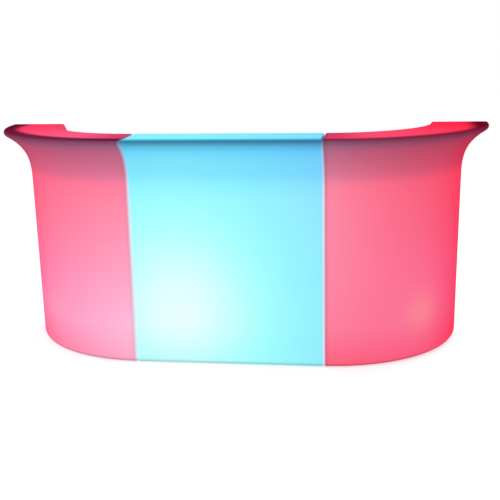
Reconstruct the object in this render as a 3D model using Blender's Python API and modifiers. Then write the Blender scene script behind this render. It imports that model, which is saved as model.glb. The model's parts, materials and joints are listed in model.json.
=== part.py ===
"""Illuminated bar counter: a straight middle module and two quarter-round corner modules.

Each module is a hollow, translucent, rotationally moulded plastic shell with a lamp unit in it.
Units are metres and +Z is up. The origin is on the floor, under the middle of the counter. The
customers' side faces -Y. Each module has a frame of its own: its origin is on the front base line,
in the middle of the module, and its +Y runs towards the bartender.
"""

import math

import bmesh
import bpy
from mathutils import Matrix, Vector

# The counter's section
COUNTER_HEIGHT = 1.100
BASE_DEPTH = 0.450
FLOOR_GAP = 0.004
WALL_DRAFT = 0.0136
FLARE_HEIGHT = 0.300
FLARE_POWER = 3.7
LIP_REACH = 0.139
LIP_RADIUS = 0.014
LEDGE_DEPTH = 0.285
LEDGE_BACK_RADIUS = 0.014
LEDGE_DROP = 0.205
INNER_WALL_ANGLE = 24.0
WORKTOP_FILLET = 0.020
WORKTOP_EDGE_RADIUS = 0.016
BASE_EDGE_RADIUS = 0.030

# The modules' plan
STRAIGHT_WIDTH = 0.906
CORNER_RADIUS = 0.652
SWEEP_STEPS = 14
CORE_STEPS = 6
END_EDGE_SHARE = 0.86
WALL = 0.006
CLEARANCE = 0.0003
CUT_OVER = 0.040
FLARE_SPACING = 0.6

# The storage bay and its shelf
BAY_END_MARGIN = 0.066
CORNER_BAY_MARGIN = 0.040
BAY_TAPER = 0.006
BAY_ROUND = 0.008
BAY_FLOOR_ROOM = 0.030
BAY_CEILING_ROOM = 0.090
BAY_BACK_ROOM = 0.023
SHELF_HEIGHT = 0.455
SHELF_THICKNESS = 0.018
SHELF_LEDGE = 0.018
SHELF_SIDE_GAP = 0.003
SHELF_SETBACK = 0.020
SHELF_ROUND = 0.005

# The lamp unit in each module
STRAIGHT_LAMP_END = 0.183
LID_RADIUS = 0.072
LID_SIDE_GAP = 0.0015
LID_THICKNESS = 0.004
LID_RECESS = 0.010
LID_NECK = 0.013
LID_FLOOR_RISE = 0.002
LID_CHAMFER = 0.0012
OPENING_RADIUS = 0.060
SEAL_THICKNESS = 0.0024
SEAL_WIDTH = 0.008
SEAL_INSET = 0.001
BATTERY_WIDTH = 0.076
BATTERY_HEIGHT = 0.110
BATTERY_EDGE = 0.004
BOARD_RADIUS = 0.052
BOARD_THICKNESS = 0.0016
CHIP_COUNT = 8
CHIP_SIZE = 0.006
CHIP_PROUD = 0.0015
CHIP_RING_RADIUS = 0.036
DOME_HEIGHT = 0.046
DOME_RIM = 0.008
DOME_WALL = 0.002
DOME_STEPS = 3

# The control plate, low on the bartender's side of each module
PLATE_WIDTH = 0.084
PLATE_HEIGHT = 0.056
PLATE_THICKNESS = 0.004
PLATE_SINK = 0.0012
PLATE_LIFT = 0.005
CONTROL_BOX_WIDTH = 0.059
CONTROL_BOX_HEIGHT = 0.035
CONTROL_BOX_DEPTH = 0.026
CONTROL_SPACING = 0.036
BUTTON_RADIUS = 0.008
BUTTON_LENGTH = 0.0085
BUTTON_PROUD = 0.0025
BUTTON_EDGE = 0.002
BUTTON_BORE_DEPTH = 0.010
SOCKET_RADIUS = 0.0068
SOCKET_BORE_RADIUS = 0.004
SOCKET_LENGTH = 0.016
SOCKET_BORE_DEPTH = 0.013
SOCKET_FLANGE_RADIUS = 0.0085
SOCKET_FLANGE_THICKNESS = 0.001
CAP_RADIUS = 0.0095
CAP_THICKNESS = 0.002
CAP_PLUG_RADIUS = 0.0030
CAP_PLUG_LENGTH = 0.0018
CAP_HINGE_RISE = 0.013
CAP_BARREL_LENGTH = 0.0105
CAP_BARREL_RADIUS = 0.0023
HINGE_BAR_RADIUS = 0.001
HINGE_BAR_PROUD = 0.0029
HINGE_LUG_THICKNESS = 0.002
LEAD_RADIUS = 0.003
LEAD_SWAY = 0.012
LEAD_POINTS = 14

# The screw feet
FOOT_RADIUS = 0.020
FOOT_HEIGHT = 0.012
FOOT_RIM_HEIGHT = 0.006
FOOT_SHOULDER_RADIUS = 0.011
FOOT_STUD_RADIUS = 0.005
FOOT_STUD_LENGTH = 0.034
FOOT_HOLE_SPARE = 0.004
FOOT_POCKET_GAP = 0.002
FOOT_END_INSET = 0.060
FOOT_EDGE_INSET = 0.065

# The knob bolts that clamp the modules together
BOLT_RADIUS = 0.005
BOLT_DEPTH_PLACE = 0.330
BOLT_GRIP = 0.030
BOLT_HOLE_SPARE = 0.005
KNOB_RADIUS = 0.021
KNOB_LOBE = 0.004
KNOB_LOBES = 5
KNOB_LENGTH = 0.025
KNOB_NECK_RADIUS = 0.012
KNOB_NECK_LENGTH = 0.008
KNOB_BORE_DEPTH = 0.015
KNOB_SEAT_MARGIN = 0.003
KNOB_SEAT_DEPTH = 0.0015
KNOB_BLEND = 0.002
KNOB_EDGE = 0.003
KNOB_TOP_INSET = 0.004
KNOB_TOP_LOBE = 0.0028

# How many sides the round pieces and holes have
OPENING_SIDES = 18
LID_SIDES = 16
DOME_SIDES = 14
BORE_SIDES = 14
CAP_SIDES = 20
HINGE_SIDES = 12
HOLE_SIDES = 10

# Places that follow from the sizes above
INNER_RADIUS = CORNER_RADIUS - BASE_DEPTH
END_EDGE_RADIUS = END_EDGE_SHARE * min(LIP_RADIUS, LEDGE_BACK_RADIUS)
AIR_EDGE_RADIUS = max(END_EDGE_RADIUS - WALL, WALL / 3)
WORKTOP_HEIGHT = COUNTER_HEIGHT - LEDGE_DROP
LID_RECESS_RADIUS = LID_RADIUS + LID_SIDE_GAP
LID_NECK_RADIUS = OPENING_RADIUS - LID_SIDE_GAP
RECESS_CEILING = FLOOR_GAP + LID_RECESS
LAMP_INSET = BASE_EDGE_RADIUS + LID_RECESS_RADIUS
BAY_BACK = LAMP_INSET + LID_RECESS_RADIUS + BAY_BACK_ROOM
PLATE_CENTRE_Z = FLOOR_GAP + BASE_EDGE_RADIUS + PLATE_LIFT + PLATE_HEIGHT / 2
BAY_FLOOR = PLATE_CENTRE_Z + PLATE_HEIGHT / 2 + BAY_FLOOR_ROOM
BAY_CEILING = WORKTOP_HEIGHT - BAY_CEILING_ROOM
FRONT_LINE_Y = -(CORNER_RADIUS - LIP_REACH) / 2
REAR_FROM_LAMP = BASE_DEPTH - LAMP_INSET
PLATE_FRONT = REAR_FROM_LAMP - PLATE_SINK
PLATE_BACK = PLATE_FRONT - PLATE_THICKNESS
RECESS_PLANE = PLATE_BACK - CLEARANCE
CONTROL_Z = PLATE_CENTRE_Z - CAP_HINGE_RISE / 3
HINGE_PLACE = (CONTROL_SPACING / 2, PLATE_FRONT + HINGE_BAR_PROUD, CONTROL_Z + CAP_HINGE_RISE)


def new_collection(name):
    made = bpy.data.collections.new(name)
    bpy.context.scene.collection.children.link(made)
    return made


def clear_scene():
    for old in list(bpy.data.objects):
        bpy.data.objects.remove(old, do_unlink=True)


clear_scene()
COUNTER = new_collection("illuminated_bar_counter")
CUTTERS = new_collection("cutters")


def material(name, colour, roughness, metallic=0.0):
    """A plain material in the piece's own colour."""
    made = bpy.data.materials.new(name)
    made.use_nodes = True
    shader = made.node_tree.nodes["Principled BSDF"]
    shader.inputs["Base Color"].default_value = (*colour, 1.0)
    shader.inputs["Roughness"].default_value = roughness
    shader.inputs["Metallic"].default_value = metallic
    made.diffuse_color = (*colour, 1.0)
    return made


def empty(name, location, turn=0.0, parent=None):
    """A frame that pieces are placed in. Its turn is about Z, in degrees."""
    frame = bpy.data.objects.new(name, None)
    COUNTER.objects.link(frame)
    frame.parent = parent
    frame.location = location
    frame.rotation_euler.z = math.radians(turn)
    return frame


def add_piece(name, mesh, finish, frame, location=(0, 0, 0), rotation=(0, 0, 0)):
    """A piece of the counter, placed in its frame. The rotation is in degrees."""
    piece = bpy.data.objects.new(name, mesh)
    COUNTER.objects.link(piece)
    piece.parent = frame
    piece.location = location
    piece.rotation_euler = [math.radians(angle) for angle in rotation]
    if finish is not None:
        mesh.materials.clear()
        mesh.materials.append(finish)
    return piece


def add_cutter(name, mesh, frame, location=(0, 0, 0), rotation=(0, 0, 0), group=None):
    """A helper that only cuts or joins: it isn't part of the counter."""
    cutter = bpy.data.objects.new(name, mesh)
    (group or CUTTERS).objects.link(cutter)
    cutter.parent = frame
    cutter.location = location
    cutter.rotation_euler = [math.radians(angle) for angle in rotation]
    cutter.hide_render = True
    cutter.display_type = "WIRE"
    return cutter


def cutter_group(name):
    group = bpy.data.collections.new(name)
    CUTTERS.children.link(group)
    group.hide_render = True
    return group


def mesh_from(bm, name, sharp_angle=35.0):
    """The mesh of a bmesh, with its normals facing out and its round faces smooth."""
    bmesh.ops.recalc_face_normals(bm, faces=bm.faces)
    mesh = bpy.data.meshes.new(name)
    bm.to_mesh(mesh)
    bm.free()
    mesh.shade_smooth()
    mesh.set_sharp_from_angle(angle=math.radians(sharp_angle))
    return mesh


def boolean(target, other, operation="DIFFERENCE"):
    modifier = target.modifiers.new(operation.lower(), "BOOLEAN")
    modifier.operation = operation
    modifier.solver = "EXACT"
    if isinstance(other, bpy.types.Collection):
        modifier.operand_type = "COLLECTION"
        modifier.collection = other
    else:
        modifier.object = other
    return modifier


def bevel(target, width, segments, angle=30.0):
    modifier = target.modifiers.new("round_edges", "BEVEL")
    modifier.width = width
    modifier.segments = segments
    modifier.limit_method = "ANGLE"
    modifier.angle_limit = math.radians(angle)
    modifier.use_clamp_overlap = False
    return modifier


def turned_mesh(name, profile):
    """The open outline of a turned piece in the XZ plane, from its top down its outer side."""
    bm = bmesh.new()
    corners = [bm.verts.new((radius, 0, height)) for radius, height in profile]
    for upper, lower in zip(corners, corners[1:]):
        bm.edges.new((upper, lower))
    mesh = bpy.data.meshes.new(name)
    bm.to_mesh(mesh)
    bm.free()
    return mesh


def turn(target, steps):
    """Turns an outline into a solid about its Z axis."""
    modifier = target.modifiers.new("turn", "SCREW")
    modifier.angle = math.radians(360)
    modifier.steps = steps
    modifier.render_steps = steps
    modifier.use_merge_vertices = True
    modifier.merge_threshold = 0.00001
    modifier.use_smooth_shade = True
    return modifier


def block_mesh(name, low, high):
    """A box between two corners."""
    bm = bmesh.new()
    bmesh.ops.create_cube(bm, size=1.0)
    size = Vector(high) - Vector(low)
    middle = (Vector(high) + Vector(low)) / 2
    bmesh.ops.scale(bm, vec=size, verts=bm.verts)
    bmesh.ops.translate(bm, vec=middle, verts=bm.verts)
    return mesh_from(bm, name)


def tapered_block_mesh(name, front_half, back_half, y_back, y_front, z_low, z_high):
    """A box that is narrower at its back, as a pocket of a moulding is."""
    bm = bmesh.new()
    bmesh.ops.create_cube(bm, size=2.0)
    for corner in bm.verts:
        at_front = corner.co.y > 0
        half = front_half if at_front else back_half
        corner.co.x *= half
        corner.co.y = y_front if at_front else y_back
        corner.co.z = z_high if corner.co.z > 0 else z_low
    return mesh_from(bm, name)


def cylinder_mesh(name, radius, z_low, z_high, sides):
    bm = bmesh.new()
    bmesh.ops.create_cone(
        bm, cap_ends=True, segments=sides, radius1=radius, radius2=radius, depth=z_high - z_low
    )
    bmesh.ops.translate(bm, vec=(0, 0, (z_low + z_high) / 2), verts=bm.verts)
    return mesh_from(bm, name)


# The section. Its points are (reach, height): reach is measured outwards from the front base line.


def arc(centre, radius, start, end, count):
    """Points of an arc with their outward normals, by angle in degrees.

    A hollow arc has a radius below 0."""
    found = []
    for step in range(count + 1):
        angle = math.radians(start + (end - start) * step / count)
        normal = (math.cos(angle), math.sin(angle))
        found.append(((centre[0] + radius * normal[0], centre[1] + radius * normal[1]), normal))
    return found


def flare_end():
    """The angle, height and swing at which the flare runs into the round lip.

    It is found by substitution, from a first guess of 45 degrees."""
    angle = math.radians(45)
    start = COUNTER_HEIGHT - FLARE_HEIGHT
    for _ in range(40):
        height = COUNTER_HEIGHT - LIP_RADIUS * (1 + math.sin(angle))
        swing = LIP_REACH - LIP_RADIUS * (1 - math.cos(angle)) - WALL_DRAFT * height
        angle = math.atan(WALL_DRAFT + FLARE_POWER * swing / (height - start))
    return angle, height, swing


def flare(count):
    """The front wall's curve from the straight wall to the lip. Its points crowd towards the lip."""
    angle, height, swing = flare_end()
    start = COUNTER_HEIGHT - FLARE_HEIGHT
    found = []
    for step in range(count):
        share = (step / count) ** FLARE_SPACING
        z = start + (height - start) * share
        reach = WALL_DRAFT * z + swing * share**FLARE_POWER
        slope = WALL_DRAFT + FLARE_POWER * swing / (height - start) * share ** (FLARE_POWER - 1)
        length = math.hypot(1, slope)
        found.append(((reach, z), (1 / length, -slope / length)))
    return found, math.degrees(angle)


def section(inset=0.0):
    """The closed outline of the counter, moved inwards by inset, as (reach, height) points.

    The outline of the air inside takes fewer points, since no one sees it."""
    fine = 2 if inset == 0 else 1
    flare_points, lip_start = flare(5 + fine)
    slope = math.radians(INNER_WALL_ANGLE)
    ledge_back = LIP_REACH - LEDGE_DEPTH
    back_centre = (ledge_back + LEDGE_BACK_RADIUS, COUNTER_HEIGHT - LEDGE_BACK_RADIUS)
    wall_top = (
        back_centre[0] - LEDGE_BACK_RADIUS * math.cos(slope),
        back_centre[1] + LEDGE_BACK_RADIUS * math.sin(slope),
    )
    wall_run = wall_top[1] - WORKTOP_HEIGHT
    corner_reach = wall_top[0] - wall_run * math.tan(slope)
    fillet_shift = WORKTOP_FILLET * math.tan((math.pi / 2 - slope) / 2)
    fillet_centre = (corner_reach - fillet_shift, WORKTOP_HEIGHT + WORKTOP_FILLET)
    base_low = FLOOR_GAP + BASE_EDGE_RADIUS
    outline = arc((-BASE_EDGE_RADIUS, base_low), BASE_EDGE_RADIUS, -90, 0, 1 + fine)
    outline += flare_points
    outline += arc(
        (LIP_REACH - LIP_RADIUS, COUNTER_HEIGHT - LIP_RADIUS), LIP_RADIUS, -lip_start, 90, 2 * fine
    )
    outline += arc(back_centre, LEDGE_BACK_RADIUS, 90, 180 - INNER_WALL_ANGLE, fine)
    outline += arc(fillet_centre, -WORKTOP_FILLET, 180 - INNER_WALL_ANGLE, 90, fine)
    outline += arc(
        (-BASE_DEPTH + WORKTOP_EDGE_RADIUS, WORKTOP_HEIGHT - WORKTOP_EDGE_RADIUS),
        WORKTOP_EDGE_RADIUS, 90, 180, fine,
    )
    outline += arc((-BASE_DEPTH + BASE_EDGE_RADIUS, base_low), BASE_EDGE_RADIUS, 180, 270, 1 + fine)
    return [(p[0] - inset * n[0], p[1] - inset * n[1]) for p, n in outline]


def straight_body_mesh(name, inset):
    """The section drawn out along the straight module, less the inset at both ends."""
    half = STRAIGHT_WIDTH / 2 - CLEARANCE - inset
    bm = bmesh.new()
    start = bm.faces.new([bm.verts.new((-half, -reach, z)) for reach, z in section(inset)])
    drawn = bmesh.ops.extrude_face_region(bm, geom=[start])
    moved = [item for item in drawn["geom"] if isinstance(item, bmesh.types.BMVert)]
    bmesh.ops.translate(bm, vec=(2 * half, 0, 0), verts=moved)
    return mesh_from(bm, name)


def corner_body_mesh(name, inset, steps):
    """The section swung through a quarter turn, less the inset at both end planes."""
    bm = bmesh.new()
    start = bm.faces.new([bm.verts.new((0, -reach, z)) for reach, z in section(inset)])
    axis = Vector((0, CORNER_RADIUS, 0))
    swing = Matrix.Rotation(math.radians(-45), 3, "Z")
    bmesh.ops.rotate(bm, cent=axis, matrix=swing, verts=bm.verts)
    bmesh.ops.spin(
        bm, geom=[start], cent=axis, axis=(0, 0, 1), angle=math.radians(90), steps=steps
    )
    if inset > 0:
        for side in (-1, 1):
            outward = Vector((side * math.cos(math.radians(45)), math.sin(math.radians(45)), 0))
            cut = bmesh.ops.bisect_plane(
                bm,
                geom=bm.verts[:] + bm.edges[:] + bm.faces[:],
                plane_co=axis - inset * outward,
                plane_no=outward,
                clear_outer=True,
            )
            rim = [item for item in cut["geom_cut"] if isinstance(item, bmesh.types.BMEdge)]
            bmesh.ops.edgeloop_fill(bm, edges=rim)
    return mesh_from(bm, name)


# The modules


def bay_halves(corner):
    """Half the bay's width at its mouth and at its back."""
    if corner:
        margin = math.asin(CORNER_BAY_MARGIN / INNER_RADIUS)
        mouth = INNER_RADIUS * math.sin(math.radians(45) - margin)
    else:
        mouth = STRAIGHT_WIDTH / 2 - BAY_END_MARGIN
    return mouth, mouth - BAY_TAPER


def bay_half_at(corner, y):
    """Half the bay's width at a depth, on its tapered side walls."""
    mouth, back = bay_halves(corner)
    return back + (mouth - back) * (y - BAY_BACK) / (BASE_DEPTH - BAY_BACK)


def foot_places(corner):
    """The four feet, as (x, y) in the module's frame."""
    if not corner:
        x = STRAIGHT_WIDTH / 2 - FOOT_END_INSET
        return [
            (side * x, y) for y in (FOOT_EDGE_INSET, BASE_DEPTH - FOOT_EDGE_INSET)
            for side in (-1, 1)
        ]
    places = []
    for radius in (CORNER_RADIUS - FOOT_EDGE_INSET, INNER_RADIUS + FOOT_EDGE_INSET):
        angle = math.radians(45) - math.asin(FOOT_END_INSET / radius)
        for side in (-1, 1):
            places.append(
                (side * radius * math.sin(angle), CORNER_RADIUS - radius * math.cos(angle))
            )
    return places


def knob_levels():
    """Each knob's name, height and seat. Each is halfway up its room of the straight module's bay.

    Its seat is the plane that its neck bears on, as a distance from the module's middle."""
    wall = bay_half_at(False, BOLT_DEPTH_PLACE + KNOB_NECK_RADIUS + KNOB_SEAT_MARGIN)
    lower = (BAY_FLOOR + SHELF_HEIGHT) / 2
    upper = (SHELF_HEIGHT + SHELF_THICKNESS + BAY_CEILING) / 2
    return (
        ("lower", lower, wall - SHELF_LEDGE + KNOB_SEAT_DEPTH),
        ("upper", upper, wall + KNOB_SEAT_DEPTH),
    )


def add_bay(module, cuts, keeps):
    """The storage bay, and the wall round it.

    The lower room is narrower, which leaves the shelf's ledge."""
    corner = module["corner"]
    mouth_y = BASE_DEPTH + BAY_BACK
    rooms = (
        ("lower", SHELF_LEDGE, BAY_FLOOR, SHELF_HEIGHT + BAY_ROUND + WALL),
        ("upper", 0.0, SHELF_HEIGHT, BAY_CEILING),
    )
    for room, ledge, low, high in rooms:
        for group, grown in ((cuts, 0.0), (keeps, WALL)):
            back_y = BAY_BACK + ledge - grown
            inward = ledge - grown
            mesh = tapered_block_mesh(
                f"{module['name']}_bay_{room}", bay_half_at(corner, mouth_y) - inward,
                bay_half_at(corner, back_y) - inward, back_y, mouth_y, low - grown, high + grown,
            )
            cutter = add_cutter(mesh.name, mesh, module["frame"], group=group)
            bevel(cutter, BAY_ROUND - grown / 2, 2 if grown == 0 else 1)


def add_control_recess(module, cuts, keeps):
    """The flat recess and window for the control plate."""
    frame = module["lamp"]
    half_width = PLATE_WIDTH / 2 + CLEARANCE
    half_height = PLATE_HEIGHT / 2 + CLEARANCE
    for group, grown in ((cuts, 0.0), (keeps, WALL)):
        mesh = block_mesh(
            f"{module['name']}_control_recess",
            (-half_width - grown, RECESS_PLANE - grown, PLATE_CENTRE_Z - half_height - grown),
            (half_width + grown, REAR_FROM_LAMP + CUT_OVER, PLATE_CENTRE_Z + half_height + grown),
        )
        add_cutter(mesh.name, mesh, frame, group=group)
    half_width = CONTROL_BOX_WIDTH / 2 + CLEARANCE
    half_height = CONTROL_BOX_HEIGHT / 2 + CLEARANCE
    mesh = block_mesh(
        f"{module['name']}_control_window",
        (-half_width, RECESS_PLANE - 2 * WALL, PLATE_CENTRE_Z - half_height),
        (half_width, RECESS_PLANE + WALL, PLATE_CENTRE_Z + half_height),
    )
    add_cutter(mesh.name, mesh, frame, group=cuts)


def stepped_cutter(name, frame, place, wide, wide_top, narrow, top, sides, group):
    """A round pocket from below with a narrower hole above it."""
    profile = [(0, top), (narrow, top), (narrow, wide_top), (wide, wide_top), (wide, -WALL)]
    mesh = turned_mesh(name, profile + [(0, -WALL)])
    cutter = add_cutter(name, mesh, frame, place, group=group)
    turn(cutter, sides)
    return cutter


def add_lamp_opening(module, cuts, keeps):
    """The round opening in the underside, in a recess that takes the lid and its seal."""
    name = f"{module['name']}_lamp_opening"
    stepped_cutter(
        name, module["lamp"], (0, 0, 0), LID_RECESS_RADIUS, RECESS_CEILING,
        OPENING_RADIUS, RECESS_CEILING + 2 * WALL, OPENING_SIDES, cuts,
    )
    mesh = cylinder_mesh(
        name, LID_RECESS_RADIUS + WALL, -WALL, RECESS_CEILING + WALL, HINGE_SIDES
    )
    add_cutter(name, mesh, module["lamp"], group=keeps)


def add_foot_pockets(module, cuts, keeps):
    """A round pocket and a blind screw boss over each foot."""
    wide = FOOT_RADIUS + FOOT_POCKET_GAP
    narrow = FOOT_STUD_RADIUS + CLEARANCE
    ceiling = FOOT_HEIGHT + CLEARANCE
    top = FOOT_HEIGHT + FOOT_STUD_LENGTH + FOOT_HOLE_SPARE
    for x, y in foot_places(module["corner"]):
        for group, grown in ((cuts, 0.0), (keeps, WALL)):
            stepped_cutter(
                f"{module['name']}_foot_pocket", module["frame"], (x, y, 0), wide + grown,
                ceiling + grown, narrow + grown, top + grown, HOLE_SIDES, group,
            )


def add_bolt_holes(module, cuts, keeps):
    """Through holes from the bay to the end faces, or blind bosses in a corner's end faces."""
    name = f"{module['name']}_bolt_hole"
    hole = BOLT_RADIUS + CLEARANCE
    reach = KNOB_NECK_RADIUS + KNOB_SEAT_MARGIN
    end = STRAIGHT_WIDTH / 2 + WALL
    across = (CORNER_RADIUS - BOLT_DEPTH_PLACE) * math.sin(math.radians(45))
    for _, height, seat in knob_levels():
        for side in (-1, 1):
            for group, grown in ((cuts, 0.0), (keeps, WALL)):
                if module["corner"]:
                    depth = BOLT_GRIP + BOLT_HOLE_SPARE + grown
                    mesh = cylinder_mesh(name, hole + grown, -depth, WALL, HOLE_SIDES)
                    place = (side * across, CORNER_RADIUS - across, height)
                    add_cutter(name, mesh, module["frame"], place, (90, 0, side * 135), group)
                    continue
                inner = seat - KNOB_SEAT_DEPTH - WALL
                profile = [
                    (0, end), (hole + grown, end), (hole + grown, seat + grown),
                    (reach + grown, seat + grown), (reach + grown, inner), (0, inner),
                ]
                cutter = add_cutter(
                    name, turned_mesh(name, profile), module["frame"],
                    (0, BOLT_DEPTH_PLACE, height), (0, side * 90, 0), group,
                )
                turn(cutter, HOLE_SIDES)


def add_shell(module, colour):
    """The moulded shell: the outer form, less the air inside it, less its bay, recesses and holes."""
    name = module["name"]
    cuts = cutter_group(f"{name}_cuts")
    keeps = cutter_group(f"{name}_kept_walls")
    for make in (add_bay, add_control_recess, add_lamp_opening, add_foot_pockets, add_bolt_holes):
        make(module, cuts, keeps)
    if module["corner"]:
        outer = corner_body_mesh(f"shell_{name}", 0.0, SWEEP_STEPS)
        inner = corner_body_mesh(f"{name}_air", WALL, CORE_STEPS)
    else:
        outer = straight_body_mesh(f"shell_{name}", 0.0)
        inner = straight_body_mesh(f"{name}_air", WALL)
    air = add_cutter(f"{name}_air", inner, module["frame"])
    bevel(air, AIR_EDGE_RADIUS, 1, angle=60)
    boolean(air, keeps)
    finish = material(f"polyethylene_{name}", colour, 0.38)
    shell = add_piece(f"shell_{name}", outer, finish, module["frame"])
    bevel(shell, END_EDGE_RADIUS, 2, angle=60)
    boolean(shell, air)
    boolean(shell, cuts)
    return shell


def add_shelf(module):
    """The loose shelf board, which lies on the bay's ledges and pulls out towards the bartender."""
    name = f"shelf_{module['name']}"
    corner = module["corner"]
    front_y = BASE_DEPTH - SHELF_SETBACK
    back_y = BAY_BACK + SHELF_SIDE_GAP
    low = SHELF_HEIGHT + CLEARANCE
    mesh = tapered_block_mesh(
        name, bay_half_at(corner, front_y) - SHELF_SIDE_GAP,
        bay_half_at(corner, back_y) - SHELF_SIDE_GAP, back_y, front_y, low, low + SHELF_THICKNESS,
    )
    finish = material(name, (0.86, 0.86, 0.84), 0.35)
    shelf = add_piece(name, mesh, finish, module["frame"])
    bevel(shelf, SHELF_ROUND, 1)
    return shelf


def add_feet(module):
    """Four screw feet. Screwed right in, the foot's shoulder bears on its pocket's ceiling."""
    finish = material(f"foot_{module['name']}", (0.06, 0.06, 0.065), 0.55)
    profile = [
        (0, FOOT_HEIGHT + FOOT_STUD_LENGTH),
        (FOOT_STUD_RADIUS, FOOT_HEIGHT + FOOT_STUD_LENGTH),
        (FOOT_STUD_RADIUS, FOOT_HEIGHT),
        (FOOT_SHOULDER_RADIUS, FOOT_HEIGHT),
        (FOOT_RADIUS, FOOT_RIM_HEIGHT),
        (FOOT_RADIUS, 0),
        (0, 0),
    ]
    mesh = turned_mesh(f"foot_{module['name']}", profile)
    for number, (x, y) in enumerate(foot_places(module["corner"]), 1):
        foot = add_piece(f"foot_{module['name']}_{number}", mesh, finish, module["frame"], (x, y, 0))
        turn(foot, HOLE_SIDES)


# The lamp unit, placed in a frame whose origin is under the lamp's axis


def add_lid(module):
    """The turned lid that closes the underside and carries the lamp, held by screws."""
    neck = LID_NECK_RADIUS
    flange_top = RECESS_CEILING - SEAL_THICKNESS - 2 * CLEARANCE
    flange_low = flange_top - LID_THICKNESS
    floor = flange_top + LID_FLOOR_RISE
    inner = BATTERY_WIDTH / math.sqrt(2) + CLEARANCE
    profile = [
        (0, floor), (inner, floor), (inner, flange_top + LID_NECK), (neck, flange_top + LID_NECK),
        (neck, flange_top), (LID_RADIUS, flange_top),
        (LID_RADIUS, flange_low + LID_CHAMFER), (LID_RADIUS - LID_CHAMFER, flange_low),
        (0, flange_low),
    ]
    name = f"lamp_lid_{module['name']}"
    finish = material(name, (0.75, 0.76, 0.77), 0.45)
    turn(add_piece(name, turned_mesh(name, profile), finish, module["lamp"]), LID_SIDES)
    return floor


def add_seal(module):
    """The flat ring that seals the lid, between its flange and the shell."""
    name = f"lid_seal_{module['name']}"
    outer = LID_RADIUS - SEAL_INSET
    inner = outer - SEAL_WIDTH
    top = RECESS_CEILING - CLEARANCE
    low = top - SEAL_THICKNESS
    profile = [(inner, top), (outer, top), (outer, low), (inner, low), (inner, top)]
    finish = material(name, (0.03, 0.03, 0.03), 0.8)
    turn(add_piece(name, turned_mesh(name, profile), finish, module["lamp"]), LID_SIDES)


def add_battery(module, floor):
    """The battery pack, standing in the lid's collar."""
    name = f"battery_pack_{module['name']}"
    half = BATTERY_WIDTH / 2
    low = floor + CLEARANCE
    mesh = block_mesh(name, (-half, -half, low), (half, half, low + BATTERY_HEIGHT))
    finish = material(name, (0.12, 0.13, 0.15), 0.5)
    battery = add_piece(name, mesh, finish, module["lamp"])
    bevel(battery, BATTERY_EDGE, 1)
    return low + BATTERY_HEIGHT


def add_board(module, seat):
    """The round light board with its ring of light-emitting chips."""
    name = f"led_board_{module['name']}"
    low = seat + CLEARANCE
    mesh = cylinder_mesh(name, BOARD_RADIUS, low, low + BOARD_THICKNESS, LID_SIDES)
    finish = material(name, (0.9, 0.9, 0.88), 0.3)
    board = add_piece(name, mesh, finish, module["lamp"])
    chips = cutter_group(f"{name}_chips")
    half = CHIP_SIZE / 2
    chip = block_mesh(
        f"{name}_chip", (-half, -half, low + BOARD_THICKNESS / 2),
        (half, half, low + BOARD_THICKNESS + CHIP_PROUD),
    )
    for number in range(CHIP_COUNT):
        angle = 2 * math.pi * (number + 0.5) / CHIP_COUNT
        place = (CHIP_RING_RADIUS * math.cos(angle), CHIP_RING_RADIUS * math.sin(angle), 0)
        add_cutter(
            f"{name}_chip_{number + 1}", chip, module["lamp"], place,
            (0, 0, math.degrees(angle)), chips,
        )
    boolean(board, chips, "UNION")
    return low + BOARD_THICKNESS


def add_dome(module, seat):
    """The frosted dome over the light board, an open turned shell with a wall."""
    name = f"lamp_dome_{module['name']}"
    low = seat + CLEARANCE
    shoulder = low + DOME_RIM
    profile = []
    for step in range(DOME_STEPS + 1):
        angle = math.radians(90 - 90 * step / DOME_STEPS)
        height = (DOME_HEIGHT - DOME_RIM) * math.sin(angle)
        profile.append((BOARD_RADIUS * math.cos(angle), shoulder + height))
    profile[0] = (0, profile[0][1])
    profile.append((BOARD_RADIUS, low))
    finish = material(name, (0.93, 0.93, 0.92), 0.4)
    dome = add_piece(name, turned_mesh(name, profile), finish, module["lamp"])
    turn(dome, DOME_SIDES)
    wall = dome.modifiers.new("wall", "SOLIDIFY")
    wall.thickness = DOME_WALL
    wall.offset = -1
    wall.use_even_offset = True


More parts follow.
